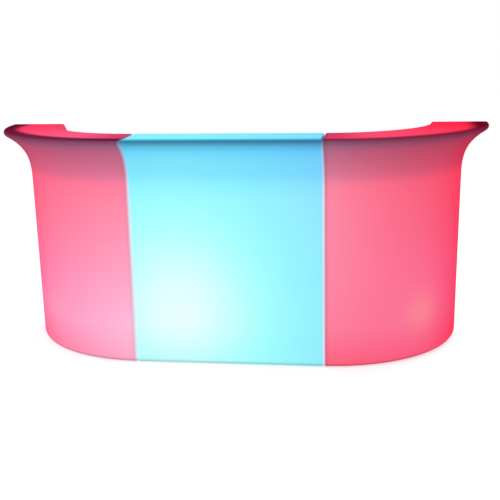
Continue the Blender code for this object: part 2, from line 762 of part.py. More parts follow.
def add_control_plate(module):
    """The plate with its box behind it, its two bores and the fixed half of the cap's hinge."""
    name = f"control_plate_{module['name']}"
    frame = module["lamp"]
    mesh = block_mesh(
        name, (-PLATE_WIDTH / 2, PLATE_BACK, PLATE_CENTRE_Z - PLATE_HEIGHT / 2),
        (PLATE_WIDTH / 2, PLATE_FRONT, PLATE_CENTRE_Z + PLATE_HEIGHT / 2),
    )
    finish = material(name, (0.2, 0.2, 0.21), 0.4)
    plate = add_piece(name, mesh, finish, frame)
    box = block_mesh(
        f"{name}_box",
        (-CONTROL_BOX_WIDTH / 2, PLATE_BACK - CONTROL_BOX_DEPTH,
         PLATE_CENTRE_Z - CONTROL_BOX_HEIGHT / 2),
        (CONTROL_BOX_WIDTH / 2, PLATE_BACK + PLATE_THICKNESS / 2,
         PLATE_CENTRE_Z + CONTROL_BOX_HEIGHT / 2),
    )
    boolean(plate, add_cutter(box.name, box, frame), "UNION")
    lug_out = CAP_BARREL_LENGTH / 2 + CLEARANCE
    lug_radius = HINGE_BAR_PROUD + PLATE_THICKNESS / 4
    bar = [
        (0, lug_out + HINGE_LUG_THICKNESS), (lug_radius, lug_out + HINGE_LUG_THICKNESS),
        (lug_radius, lug_out), (HINGE_BAR_RADIUS, lug_out), (HINGE_BAR_RADIUS, -lug_out),
        (lug_radius, -lug_out), (lug_radius, -lug_out - HINGE_LUG_THICKNESS),
        (0, -lug_out - HINGE_LUG_THICKNESS),
    ]
    hinge = add_cutter(
        f"{name}_hinge", turned_mesh(f"{name}_hinge", bar), frame, HINGE_PLACE, (0, 90, 0)
    )
    turn(hinge, HINGE_SIDES)
    boolean(plate, hinge, "UNION")
    bores = (
        (-CONTROL_SPACING / 2, BUTTON_RADIUS + CLEARANCE, BUTTON_BORE_DEPTH),
        (CONTROL_SPACING / 2, SOCKET_RADIUS + CLEARANCE, SOCKET_LENGTH + CLEARANCE),
    )
    for x, radius, depth in bores:
        mesh = cylinder_mesh(f"{name}_bore", radius, -depth, PLATE_THICKNESS, BORE_SIDES)
        bore = add_cutter(mesh.name, mesh, frame, (x, PLATE_FRONT, CONTROL_Z), (-90, 0, 0))
        boolean(plate, bore)


def add_button(module):
    """The power button, a short stepped plunger with a soft edge."""
    name = f"power_button_{module['name']}"
    low = BUTTON_PROUD - BUTTON_LENGTH
    profile = [
        (0, BUTTON_PROUD), (BUTTON_RADIUS - BUTTON_EDGE, BUTTON_PROUD),
        (BUTTON_RADIUS, BUTTON_PROUD - BUTTON_EDGE / 2), (BUTTON_RADIUS, low), (0, low),
    ]
    finish = material(name, (0.75, 0.75, 0.76), 0.3)
    button = add_piece(
        name, turned_mesh(name, profile), finish, module["lamp"],
        (-CONTROL_SPACING / 2, PLATE_FRONT, CONTROL_Z), (-90, 0, 0),
    )
    turn(button, BORE_SIDES)


def add_socket(module):
    """The round charging socket, a flanged sleeve with a blind bore."""
    name = f"charge_socket_{module['name']}"
    flange = CLEARANCE + SOCKET_FLANGE_THICKNESS
    profile = [
        (0, flange - SOCKET_BORE_DEPTH), (SOCKET_BORE_RADIUS, flange - SOCKET_BORE_DEPTH),
        (SOCKET_BORE_RADIUS, flange), (SOCKET_FLANGE_RADIUS, flange),
        (SOCKET_FLANGE_RADIUS, CLEARANCE), (SOCKET_RADIUS, CLEARANCE),
        (SOCKET_RADIUS, -SOCKET_LENGTH), (0, -SOCKET_LENGTH),
    ]
    finish = material(name, (0.7, 0.7, 0.72), 0.25, 1.0)
    socket = add_piece(
        name, turned_mesh(name, profile), finish, module["lamp"],
        (CONTROL_SPACING / 2, PLATE_FRONT, CONTROL_Z), (-90, 0, 0),
    )
    turn(socket, HINGE_SIDES)


def add_cap(module):
    """The socket's hinged cap: a barrel on the hinge bar, an ear, a round lid and a short plug."""
    name = f"socket_cap_{module['name']}"
    frame = module["lamp"]
    back = 2 * CLEARANCE + SOCKET_FLANGE_THICKNESS - HINGE_BAR_PROUD
    front = back + CAP_THICKNESS
    bore = HINGE_BAR_RADIUS + CLEARANCE
    half = CAP_BARREL_LENGTH / 2
    tube = [(bore, half), (CAP_BARREL_RADIUS, half), (CAP_BARREL_RADIUS, -half), (bore, -half)]
    finish = material(name, (0.05, 0.05, 0.055), 0.7)
    facing_out = Matrix.Rotation(math.radians(-90), 4, "X")
    over_socket = Matrix.Translation((0, back, -CAP_HINGE_RISE)) @ facing_out
    lid = cylinder_mesh(name, CAP_RADIUS, 0, CAP_THICKNESS, CAP_SIDES)
    lid.transform(over_socket)
    cap = add_piece(name, lid, finish, frame, HINGE_PLACE)
    barrel = add_cutter(
        f"{name}_barrel", turned_mesh(f"{name}_barrel", tube + tube[:1]), frame, HINGE_PLACE,
        (0, 90, 0),
    )
    turn(barrel, HINGE_SIDES)
    ear_top = -bore - CLEARANCE
    ear = block_mesh(
        f"{name}_ear", (-half, back, CAP_RADIUS / 2 - CAP_HINGE_RISE), (half, front, ear_top)
    )
    plug = cylinder_mesh(
        f"{name}_plug", CAP_PLUG_RADIUS, -CAP_PLUG_LENGTH, CAP_THICKNESS / 2, HINGE_SIDES
    )
    plug.transform(over_socket)
    boolean(cap, add_cutter(ear.name, ear, frame, HINGE_PLACE), "UNION")
    boolean(cap, add_cutter(plug.name, plug, frame, HINGE_PLACE), "UNION")
    boolean(cap, barrel, "UNION")


def smooth_route(points, count):
    """Evenly shared points on a smooth curve through the given ones."""
    ends = [points[0] * 2 - points[1]] + points + [points[-1] * 2 - points[-2]]
    found = []
    spans = len(points) - 1
    for number in range(count):
        place = number * spans / (count - 1)
        span = min(int(place), spans - 1)
        t = place - span
        a, b, c, d = ends[span : span + 4]
        found.append(
            0.5 * (2 * b + (c - a) * t + (2 * a - 5 * b + 4 * c - d) * t**2
                   + (3 * b - a - 3 * c + d) * t**3)
        )
    return found


def add_lead(module, floor):
    """The low-voltage lead in the shell, from the control box along the floor to the battery."""
    name = f"lamp_lead_{module['name']}"
    start = PLATE_BACK - CONTROL_BOX_DEPTH - CLEARANCE
    end = BATTERY_WIDTH / 2 + CLEARANCE
    low = FLOOR_GAP + WALL + 1.5 * LEAD_RADIUS + CLEARANCE
    over = RECESS_CEILING + WALL + LEAD_RADIUS + 2 * CLEARANCE
    plug_z = floor + LID_NECK + 5 * LEAD_RADIUS
    rim = LID_RECESS_RADIUS + WALL
    straight = 2 * LEAD_RADIUS
    route = [
        Vector((0, start - straight, PLATE_CENTRE_Z)),
        Vector((LEAD_SWAY / 3, (2 * start + rim) / 3, low + 2 * LEAD_RADIUS)),
        Vector((LEAD_SWAY, (start + 2 * rim) / 3, low)),
        Vector((LEAD_SWAY, rim + 8 * LEAD_RADIUS, low + LEAD_RADIUS / 2)),
        Vector((LEAD_SWAY / 2, rim, over + LEAD_RADIUS)),
        Vector((0, end + 2 * straight, plug_z - LEAD_RADIUS)),
        Vector((0, end + straight, plug_z)),
    ]
    points = [Vector((0, start, PLATE_CENTRE_Z))] + smooth_route(route, LEAD_POINTS)
    points.append(Vector((0, end, plug_z)))
    curve = bpy.data.curves.new(name, "CURVE")
    curve.dimensions = "3D"
    curve.bevel_depth = LEAD_RADIUS
    curve.bevel_resolution = 1
    curve.use_fill_caps = True
    spline = curve.splines.new("POLY")
    spline.points.add(len(points) - 1)
    for target, point in zip(spline.points, points):
        target.co = (*point, 1.0)
    lead = bpy.data.objects.new(name, curve)
    COUNTER.objects.link(lead)
    lead.parent = module["lamp"]
    curve.materials.append(material(name, (0.02, 0.02, 0.02), 0.5))


def add_lamp_unit(module):
    floor = add_lid(module)
    add_seal(module)
    top = add_battery(module, floor)
    top = add_board(module, top)
    add_dome(module, top)
    add_control_plate(module)
    add_button(module)
    add_socket(module)
    add_cap(module)
    add_lead(module, floor)


# The knob bolts


def knob_mesh(name):
    """A five-lobed knob with a neck and a bore, lofted through rings along +Z from its seat."""
    rings = [
        (BOLT_RADIUS + CLEARANCE, 0.0, KNOB_BORE_DEPTH),
        (BOLT_RADIUS + CLEARANCE, 0.0, 0.0),
        (KNOB_NECK_RADIUS, 0.0, 0.0),
        (KNOB_NECK_RADIUS, 0.0, KNOB_NECK_LENGTH),
        (KNOB_RADIUS, KNOB_LOBE, KNOB_NECK_LENGTH + KNOB_BLEND),
        (KNOB_RADIUS, KNOB_LOBE, KNOB_LENGTH - KNOB_EDGE),
        (KNOB_RADIUS - KNOB_TOP_INSET, KNOB_TOP_LOBE, KNOB_LENGTH),
    ]
    sides = 3 * KNOB_LOBES
    bm = bmesh.new()
    loops = []
    for radius, lobe, height in rings:
        loop = []
        for side in range(sides):
            angle = 2 * math.pi * side / sides
            reach = radius + lobe * math.cos(KNOB_LOBES * angle)
            loop.append(bm.verts.new((reach * math.cos(angle), reach * math.sin(angle), height)))
        loops.append(loop)
    for one, two in zip(loops, loops[1:]):
        for side in range(sides):
            after = (side + 1) % sides
            bm.faces.new((one[side], one[after], two[after], two[side]))
    bm.faces.new(loops[0])
    bm.faces.new(loops[-1])
    return mesh_from(bm, name)


def add_clamps(middle):
    """Four knob bolts, two for each seam, turned by hand from inside the bay."""
    knob = knob_mesh("clamp_knob")
    knob_finish = material("clamp_knob", (0.03, 0.03, 0.035), 0.5)
    bolt_finish = material("clamp_bolt", (0.75, 0.75, 0.77), 0.3, 1.0)
    for level, height, seat_plane in knob_levels():
        seat = seat_plane - CLEARANCE
        length = STRAIGHT_WIDTH / 2 + BOLT_GRIP - seat
        top = KNOB_BORE_DEPTH - CLEARANCE
        bolt = cylinder_mesh(f"clamp_bolt_{level}", BOLT_RADIUS, -length, top, HOLE_SIDES)
        for side, end in ((-1, "left"), (1, "right")):
            place = (side * seat, BOLT_DEPTH_PLACE, height)
            rotation = (0, -side * 90, 0)
            frame = middle["frame"]
            add_piece(f"clamp_knob_{end}_{level}", knob, knob_finish, frame, place, rotation)
            add_piece(f"clamp_bolt_{end}_{level}", bolt, bolt_finish, frame, place, rotation)


def new_module(name, corner, place, turn_angle, lamp_x):
    """A module's frames: its own, and the one that its lamp unit stands in."""
    frame = empty(f"frame_{name}", place, turn_angle)
    lamp = empty(f"lamp_frame_{name}", (lamp_x, LAMP_INSET, 0), parent=frame)
    return {"name": name, "corner": corner, "frame": frame, "lamp": lamp}


def main():
    lamp_x = STRAIGHT_LAMP_END - STRAIGHT_WIDTH / 2
    middle = new_module("middle", False, (0, FRONT_LINE_Y, 0), 0, lamp_x)
    modules = [(middle, (0.55, 0.93, 0.98))]
    diagonal = CORNER_RADIUS * math.sin(math.radians(45))
    for side, name in ((-1, "left"), (1, "right")):
        x = side * (STRAIGHT_WIDTH / 2 + diagonal)
        place = (x, FRONT_LINE_Y + CORNER_RADIUS - diagonal, 0)
        corner = new_module(name, True, place, side * 45, 0.0)
        modules.append((corner, (0.98, 0.33, 0.45)))
    for module, colour in modules:
        add_shell(module, colour)
        add_shelf(module)
        add_lamp_unit(module)
        add_feet(module)
    add_clamps(middle)


main()
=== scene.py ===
"""The looks of an illuminated bar counter: three moulded modules that glow from inside.

Units are metres, +Z is up and the guests' side faces -Y. The origin is on the floor under the
counter's middle.
"""

import json
import math

import bmesh
import bpy
from mathutils import Matrix, Vector

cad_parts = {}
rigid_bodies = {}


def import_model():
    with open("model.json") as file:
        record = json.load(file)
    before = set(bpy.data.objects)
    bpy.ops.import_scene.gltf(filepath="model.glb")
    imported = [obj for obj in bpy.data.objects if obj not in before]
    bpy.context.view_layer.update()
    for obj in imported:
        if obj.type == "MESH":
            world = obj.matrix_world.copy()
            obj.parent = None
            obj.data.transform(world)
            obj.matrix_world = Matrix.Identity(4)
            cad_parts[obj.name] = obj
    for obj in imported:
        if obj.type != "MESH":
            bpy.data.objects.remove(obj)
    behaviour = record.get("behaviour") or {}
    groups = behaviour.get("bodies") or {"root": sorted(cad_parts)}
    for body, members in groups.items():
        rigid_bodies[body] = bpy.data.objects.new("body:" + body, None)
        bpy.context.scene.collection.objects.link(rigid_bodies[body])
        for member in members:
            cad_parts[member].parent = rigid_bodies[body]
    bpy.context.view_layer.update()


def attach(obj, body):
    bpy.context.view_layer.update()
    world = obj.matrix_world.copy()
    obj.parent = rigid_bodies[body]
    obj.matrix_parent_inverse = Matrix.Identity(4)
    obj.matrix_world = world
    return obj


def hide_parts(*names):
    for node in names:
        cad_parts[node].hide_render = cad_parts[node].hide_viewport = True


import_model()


# The viewpoint. The counter is seen from a guest's eye height, a little to its right, through a
# long lens. Place, turn and lens were solved from the counter's own edges.
EYE = (0.6916, -4.4701, 1.5636)
LOOK_DOWN = math.radians(13.1155)
LOOK_LEFT = math.radians(7.8311)
HEAD_TILT = math.radians(-1.1064)
LENS_MM = 67.692
SENSOR_MM = 36.0
SIGHT_LIMIT = 60.0

forward = Vector((
    -math.sin(LOOK_LEFT) * math.cos(LOOK_DOWN),
    math.cos(LOOK_LEFT) * math.cos(LOOK_DOWN),
    -math.sin(LOOK_DOWN),
))
sideways = forward.cross(Vector((0, 0, 1))).normalized()
upright = sideways.cross(forward)
tilted_right = sideways * math.cos(HEAD_TILT) + upright * math.sin(HEAD_TILT)
tilted_up = upright * math.cos(HEAD_TILT) - sideways * math.sin(HEAD_TILT)
eye_turn = Matrix((tilted_right, tilted_up, -forward)).transposed().to_4x4()

viewpoint = bpy.data.objects.new("viewpoint", bpy.data.cameras.new("viewpoint"))
viewpoint.data.lens = LENS_MM
viewpoint.data.sensor_width = SENSOR_MM
viewpoint.data.clip_end = SIGHT_LIMIT
viewpoint.matrix_world = Matrix.Translation(EYE) @ eye_turn
bpy.context.scene.collection.objects.link(viewpoint)
bpy.context.scene.camera = viewpoint


# The studio: a wide white floor, an even white sky and two large soft lamps. Seen directly, floor
# and sky are plain white, and the floor keeps the counter's soft shadow.
FLOOR_SIZE = 40.0
FLOOR_WHITE = 0.45
FLOOR_LIFT = 0.60
SKY_LIGHT = 0.95
LAMP_SIZE = 2.6
STUDIO_LAMPS = (
    ("lamp_front_left", (-2.6, -3.4, 3.2), 100.0),
    ("lamp_rear_right", (2.8, 3.2, 3.4), 95.0),
)
WHITE = (1.0, 1.0, 1.0, 1.0)


def add_node(tree, kind, inputs=(), **settings):
    """A node with its settings, and with a value or another node's socket on each named input."""
    made = tree.nodes.new(kind)
    for name, value in settings.items():
        setattr(made, name, value)
    for name, value in dict(inputs).items():
        if isinstance(value, bpy.types.NodeSocket):
            tree.links.new(value, made.inputs[name])
        else:
            made.inputs[name].default_value = value
    return made


def math_node(tree, operation, *values, clamp=False):
    """A Math node on values or sockets, as its output."""
    inputs = dict(enumerate(values))
    return add_node(tree, "ShaderNodeMath", inputs, operation=operation, use_clamp=clamp).outputs[0]


def new_material(name):
    """An empty material, its tree, and the output that the shader goes to."""
    made = bpy.data.materials.new(name)
    made.use_nodes = True
    made.node_tree.nodes.clear()
    return made, made.node_tree, made.node_tree.nodes.new("ShaderNodeOutputMaterial")


def seen_directly(tree):
    """1 for the rays of the camera, of gloss and of glass, and 0 for the light itself."""
    rays = add_node(tree, "ShaderNodeLightPath").outputs
    seen = math_node(tree, "MAXIMUM", rays["Is Camera Ray"], rays["Is Glossy Ray"])
    return math_node(tree, "MAXIMUM", seen, rays["Is Transmission Ray"])


def add_object(name, mesh):
    made = bpy.data.objects.new(name, mesh)
    bpy.context.scene.collection.objects.link(made)
    return made


floor_finish, tree, surface = new_material("floor_white")
floor_colour = (FLOOR_WHITE, FLOOR_WHITE, FLOOR_WHITE, 1.0)
paint = add_node(tree, "ShaderNodeBsdfDiffuse", {"Color": floor_colour})
lift = add_node(tree, "ShaderNodeEmission", {"Strength": FLOOR_LIFT})
dark = add_node(tree, "ShaderNodeEmission", {"Strength": 0.0})
seen = add_node(tree, "ShaderNodeMixShader", {
    0: seen_directly(tree), 1: dark.outputs[0], 2: lift.outputs[0],
})
both = add_node(tree, "ShaderNodeAddShader", {0: paint.outputs[0], 1: seen.outputs[0]})
tree.links.new(both.outputs[0], surface.inputs["Surface"])

floor_form = bmesh.new()
bmesh.ops.create_grid(floor_form, x_segments=1, y_segments=1, size=FLOOR_SIZE / 2)
floor_mesh = bpy.data.meshes.new("floor")
floor_form.to_mesh(floor_mesh)
floor_form.free()
floor_mesh.materials.append(floor_finish)
add_object("floor", floor_mesh)

sky = bpy.data.worlds.new("studio_sky")
sky.use_nodes = True
sky.node_tree.nodes.clear()
plain = add_node(sky.node_tree, "ShaderNodeBackground", {"Strength": 1.0, "Color": WHITE})
soft = add_node(sky.node_tree, "ShaderNodeBackground", {"Strength": SKY_LIGHT, "Color": WHITE})
choice = add_node(sky.node_tree, "ShaderNodeMixShader", {
    0: seen_directly(sky.node_tree), 1: soft.outputs[0], 2: plain.outputs[0],
})
add_node(sky.node_tree, "ShaderNodeOutputWorld", {"Surface": choice.outputs[0]})
bpy.context.scene.world = sky
bpy.context.scene.view_settings.view_transform = "Standard"

for name, place, power in STUDIO_LAMPS:
    lamp_light = bpy.data.lights.new(name, "AREA")
    lamp_light.energy = power
    lamp_light.size = LAMP_SIZE
    lamp_stand = bpy.data.objects.new(name, lamp_light)
    lamp_stand.location = place
    lamp_stand.rotation_euler = Vector(place).to_track_quat("Z", "Y").to_euler()
    bpy.context.scene.collection.objects.link(lamp_stand)


# The shells: hollow bodies of milky polyethylene, moulded in a turning, heated mould, so walls are
# even and every edge is round. A flared front wall carries the ledge, and a bay opens to the
# server's side.
COUNTER_HEIGHT = 1.100
BASE_DEPTH = 0.450
FLOOR_GAP = 0.004
WALL_DRAFT = 0.0136
FLARE_HEIGHT = 0.300
FLARE_POWER = 3.7
FLARE_SPACING = 0.6
LIP_ANGLE_TRIES = 40
LIP_REACH = 0.139
LIP_RADIUS = 0.014
LEDGE_DEPTH = 0.285
LEDGE_BACK_RADIUS = 0.014
LEDGE_DROP = 0.205
INNER_WALL_ANGLE = 24.0
WORKTOP_FILLET = 0.020
WORKTOP_EDGE_RADIUS = 0.016
BASE_EDGE_RADIUS = 0.030
STRAIGHT_WIDTH = 0.906
CORNER_RADIUS = 0.652
CORNER_STEPS = 24
END_EDGE_RADIUS = 0.012
WALL = 0.006
CLEARANCE = 0.0003
CUT_OVER = 0.040
BAY_END_MARGIN = 0.066
CORNER_BAY_MARGIN = 0.040
BAY_TAPER = 0.006
BAY_ROUND = 0.008
BAY_MOUTH_ROUND = 0.005
BAY_CORNER_SPARE = 0.0005
BAY_FLOOR_ROOM = 0.030
BAY_CEILING_ROOM = 0.090
BAY_BACK_ROOM = 0.023
SHELF_HEIGHT = 0.455
SHELF_THICKNESS = 0.018
SHELF_LEDGE = 0.018
PLATE_WIDTH = 0.084
PLATE_HEIGHT = 0.056
PLATE_THICKNESS = 0.004
PLATE_SINK = 0.0012
PLATE_LIFT = 0.005
PLATE_CORNER = 0.0025
CONTROL_BOX_WIDTH = 0.059
CONTROL_BOX_HEIGHT = 0.035
STRAIGHT_LAMP_END = 0.183
LID_RADIUS = 0.072
LID_SIDE_GAP = 0.0015
LID_RECESS = 0.010
OPENING_RADIUS = 0.060
FOOT_RADIUS = 0.020
FOOT_HEIGHT = 0.012
FOOT_STUD_RADIUS = 0.005
FOOT_STUD_LENGTH = 0.034
FOOT_HOLE_SPARE = 0.004
FOOT_POCKET_GAP = 0.002
FOOT_END_INSET = 0.060
FOOT_EDGE_INSET = 0.065
BOLT_RADIUS = 0.005
BOLT_DEPTH_PLACE = 0.330
BOLT_GRIP = 0.030
BOLT_HOLE_SPARE = 0.005
KNOB_NECK_RADIUS = 0.012
KNOB_SEAT_MARGIN = 0.003
KNOB_SEAT_DEPTH = 0.0015
SAME_POINT = 1e-6
CUT_TOLERANCE = 1e-5
ROUND_SIDES = 96
OUTER_FINENESS = 6
AIR_FINENESS = 1
AIR_STEPS = 8
END_EDGE_STEPS = 6

INNER_RADIUS = CORNER_RADIUS - BASE_DEPTH
FRONT_LINE_Y = -(CORNER_RADIUS - LIP_REACH) / 2
WORKTOP_HEIGHT = COUNTER_HEIGHT - LEDGE_DROP
LID_RECESS_RADIUS = LID_RADIUS + LID_SIDE_GAP
RECESS_CEILING = FLOOR_GAP + LID_RECESS
LAMP_INSET = BASE_EDGE_RADIUS + LID_RECESS_RADIUS
BAY_BACK = LAMP_INSET + LID_RECESS_RADIUS + BAY_BACK_ROOM
PLATE_CENTRE_Z = FLOOR_GAP + BASE_EDGE_RADIUS + PLATE_LIFT + PLATE_HEIGHT / 2
BAY_FLOOR = PLATE_CENTRE_Z + PLATE_HEIGHT / 2 + BAY_FLOOR_ROOM
BAY_CEILING = WORKTOP_HEIGHT - BAY_CEILING_ROOM
REAR_FROM_LAMP = BASE_DEPTH - LAMP_INSET
PLATE_FRONT = REAR_FROM_LAMP - PLATE_SINK
PLATE_BACK = PLATE_FRONT - PLATE_THICKNESS
RECESS_PLANE = PLATE_BACK - CLEARANCE

DIAGONAL = CORNER_RADIUS * math.sin(math.radians(45))
MODULES = {"middle": 0, "left": -1, "right": 1}


def is_corner(name):
    return MODULES[name] != 0


def module_frame(name):
    """Where a module stands: its own +Y runs from its front base line towards the server."""
    side = MODULES[name]
    x = side * (STRAIGHT_WIDTH / 2 + DIAGONAL)
    y = FRONT_LINE_Y + abs(side) * (CORNER_RADIUS - DIAGONAL)
    return Matrix.Translation((x, y, 0)) @ Matrix.Rotation(math.radians(side * 45), 4, "Z")


def lamp_frame(name):
    """The frame under a module's lamp."""
    x = 0.0 if is_corner(name) else STRAIGHT_LAMP_END - STRAIGHT_WIDTH / 2
    return module_frame(name) @ Matrix.Translation((x, LAMP_INSET, 0))


def arc(centre, radius, start, end, count):
    """Points of an arc with their outward normals. A hollow arc has a radius below 0."""
    found = []
    for step in range(count + 1):
        angle = math.radians(start + (end - start) * step / count)
        normal = (math.cos(angle), math.sin(angle))
        found.append(((centre[0] + radius * normal[0], centre[1] + radius * normal[1]), normal))
    return found


def quarter_round(steps):
    """A rounded edge of radius 1: how far each step lies inside one face and the other."""
    angles = [math.radians(90 * step / steps) for step in range(steps + 1)]
    return [(1 - math.sin(angle), 1 - math.cos(angle)) for angle in angles]


def flare(count):
    """The front wall's curve up to the lip, with normals, and the angle where it meets the lip."""
    start = COUNTER_HEIGHT - FLARE_HEIGHT
    angle = math.radians(45)
    for _ in range(LIP_ANGLE_TRIES):
        top = COUNTER_HEIGHT - LIP_RADIUS * (1 + math.sin(angle))
        swing = LIP_REACH - LIP_RADIUS * (1 - math.cos(angle)) - WALL_DRAFT * top
        angle = math.atan(WALL_DRAFT + FLARE_POWER * swing / (top - start))
    found = []
    for step in range(count):
        share = (step / count) ** FLARE_SPACING
        z = start + (top - start) * share
        slope = WALL_DRAFT + FLARE_POWER * swing / (top - start) * share ** (FLARE_POWER - 1)
        length = math.hypot(1, slope)
        point = (WALL_DRAFT * z + swing * share**FLARE_POWER, z)
        found.append((point, (1 / length, -slope / length)))
    return found, math.degrees(angle)


def section(inset, fine):
    """The counter's closed section as (reach, height) points, moved inwards by inset."""
    flare_points, lip_start = flare(5 * fine)
    slope = math.radians(INNER_WALL_ANGLE)
    back_centre = (LIP_REACH - LEDGE_DEPTH + LEDGE_BACK_RADIUS, COUNTER_HEIGHT - LEDGE_BACK_RADIUS)
    wall_top = (
        back_centre[0] - LEDGE_BACK_RADIUS * math.cos(slope),
        back_centre[1] + LEDGE_BACK_RADIUS * math.sin(slope),
    )
    wall_foot = wall_top[0] - (wall_top[1] - WORKTOP_HEIGHT) * math.tan(slope)
    fillet_shift = WORKTOP_FILLET * math.tan((math.pi / 2 - slope) / 2)
    fillet_centre = (wall_foot - fillet_shift, WORKTOP_HEIGHT + WORKTOP_FILLET)
    base_low = FLOOR_GAP + BASE_EDGE_RADIUS
    rear_top = (-BASE_DEPTH + WORKTOP_EDGE_RADIUS, WORKTOP_HEIGHT - WORKTOP_EDGE_RADIUS)
    lip_centre = (LIP_REACH - LIP_RADIUS, COUNTER_HEIGHT - LIP_RADIUS)
    outline = arc((-BASE_EDGE_RADIUS, base_low), BASE_EDGE_RADIUS, -90, 0, 2 * fine)
    outline += flare_points
    outline += arc(lip_centre, LIP_RADIUS, -lip_start, 90, 2 * fine)
    outline += arc(back_centre, LEDGE_BACK_RADIUS, 90, 180 - INNER_WALL_ANGLE, fine)
    outline += arc(fillet_centre, -WORKTOP_FILLET, 180 - INNER_WALL_ANGLE, 90, fine)
    outline += arc(rear_top, WORKTOP_EDGE_RADIUS, 90, 180, fine)
    outline += arc((-BASE_DEPTH + BASE_EDGE_RADIUS, base_low), BASE_EDGE_RADIUS, 180, 270, 2 * fine)
    return [(p[0] - inset * n[0], p[1] - inset * n[1]) for p, n in outline]


def section_curve(name, inset, fine):
    """The section as a closed curve, which the shell tree sweeps."""
    curve = bpy.data.curves.new(name, "CURVE")
    curve.dimensions = "3D"
    points = section(inset, fine)
    line = curve.splines.new("POLY")
    line.points.add(len(points) - 1)
    for target, (reach, z) in zip(line.points, points):
        target.co = (reach, -z, 0, 1)
    line.use_cyclic_u = True
    return add_object(name, curve)


def tree_with_inputs(name, inputs):
    """A Geometry Nodes tree with named inputs, its group input and its group output."""
    tree = bpy.data.node_groups.new(name, "GeometryNodeTree")
    for label, kind in inputs:
        tree.interface.new_socket(label, in_out="INPUT", socket_type=kind)
    tree.interface.new_socket("Geometry", in_out="OUTPUT", socket_type="NodeSocketGeometry")
    given = tree.nodes.new("NodeGroupInput").outputs
    return tree, given, tree.nodes.new("NodeGroupOutput").inputs["Geometry"]


def finish_tree(tree, geometry, finish, result):
    """Every tree ends the same way: real geometry in its material."""
    real = add_node(tree, "GeometryNodeRealizeInstances", {"Geometry": geometry})
    dressed = add_node(tree, "GeometryNodeSetMaterial", {
        "Geometry": real.outputs[0], "Material": finish,
    })
    tree.links.new(dressed.outputs[0], result)


def plain_mesh(name, made):
    """The evaluated form of an object as a plain mesh. The object that gave it goes."""
    bpy.context.view_layer.update()
    graph = bpy.context.evaluated_depsgraph_get()
    mesh = bpy.data.meshes.new_from_object(made.evaluated_get(graph))
    mesh.name = name
    bpy.data.objects.remove(made, do_unlink=True)
    return mesh


def mesh_from_tree(name, tree, values):
    """Runs a Geometry Nodes tree with its inputs set by name, and gives a plain mesh."""
    holder = add_object(name, bpy.data.meshes.new(name))
    step = holder.modifiers.new(tree.name, "NODES")
    step.node_group = tree
    for item in tree.interface.items_tree:
        if item.in_out == "INPUT":
            step[item.identifier] = values[item.name]
    return plain_mesh(name, holder)


shell_tree, given, result = tree_with_inputs("swept_shell", (
    ("Section", "NodeSocketObject"), ("Length", "NodeSocketFloat"), ("Radius", "NodeSocketFloat"),
    ("Steps", "NodeSocketInt"), ("Round", "NodeSocketBool"), ("Finish", "NodeSocketMaterial"),
))
outline = add_node(shell_tree, "GeometryNodeObjectInfo", {"Object": given["Section"]})
half_length = math_node(shell_tree, "DIVIDE", given["Length"], 2.0)
back_half = math_node(shell_tree, "MULTIPLY", half_length, -1.0)
line = add_node(shell_tree, "GeometryNodeCurvePrimitiveLine", {
    "Start": add_node(shell_tree, "ShaderNodeCombineXYZ", {"X": back_half}).outputs[0],
    "End": add_node(shell_tree, "ShaderNodeCombineXYZ", {"X": half_length}).outputs[0],
})
# The round sweep runs one step further at each end, and trimmed() cuts it back.
spare = math_node(shell_tree, "DIVIDE", math.radians(90), given["Steps"])
quarter = add_node(shell_tree, "GeometryNodeCurveArc", {
    "Resolution": math_node(shell_tree, "ADD", given["Steps"], 3.0), "Radius": given["Radius"],
    "Start Angle": math_node(shell_tree, "SUBTRACT", math.radians(225), spare),
    "Sweep Angle": math_node(shell_tree, "MULTIPLY_ADD", spare, 2.0, math.radians(90)),
})
moved = add_node(shell_tree, "GeometryNodeTransform", {
    "Geometry": quarter.outputs["Curve"],
    "Translation": add_node(shell_tree, "ShaderNodeCombineXYZ", {"Y": given["Radius"]}).outputs[0],
})
path = add_node(shell_tree, "GeometryNodeSwitch", {
    "Switch": given["Round"], "False": line.outputs["Curve"], "True": moved.outputs[0],
}, input_type="GEOMETRY")
level = add_node(shell_tree, "GeometryNodeSetCurveNormal", {"Curve": path.outputs[0]}, mode="Z_UP")
swept = add_node(shell_tree, "GeometryNodeCurveToMesh", {
    "Curve": level.outputs[0], "Profile Curve": outline.outputs["Geometry"], "Fill Caps": True,
})
finish_tree(shell_tree, swept.outputs[0], given["Finish"], result)


def mesh_of(form, name):
    """The mesh of a bmesh, with its doubles merged and its faces turned outwards."""
    bmesh.ops.remove_doubles(form, verts=form.verts, dist=SAME_POINT)
    bmesh.ops.recalc_face_normals(form, faces=form.faces)
    mesh = bpy.data.meshes.new(name)
    form.to_mesh(mesh)
    form.free()
    return mesh


def lofted_mesh(name, rings):
    """A closed body through rings with equally many points, with a flat face at each end."""
    form = bmesh.new()
    loops = [[form.verts.new(point) for point in ring] for ring in rings]
    count = len(loops[0])
    for one, two in zip(loops, loops[1:]):
        for side in range(count):
            after = (side + 1) % count
            form.faces.new((one[side], one[after], two[after], two[side]))
    form.faces.new(loops[0])
    form.faces.new(loops[-1])
    return mesh_of(form, name)


def turned_mesh(name, profile, sides):
    """A (radius, height) outline turned about Z. It is closed at the axis, or runs round a ring."""
    form = bmesh.new()
    loops = []
    for radius, height in profile:
        if radius == 0:
            loops.append([form.verts.new((0, 0, height))] * sides)
            continue
        angles = [2 * math.pi * side / sides for side in range(sides)]
        loops.append([
            form.verts.new((radius * math.cos(a), radius * math.sin(a), height)) for a in angles
        ])
    if profile[0][0] > 0:
        loops.append(loops[0])
    for one, two in zip(loops, loops[1:]):
        for side in range(sides):
            after = (side + 1) % sides
            corners = list(dict.fromkeys((one[side], one[after], two[after], two[side])))
            if len(corners) > 2:
                form.faces.new(corners)
    return mesh_of(form, name)


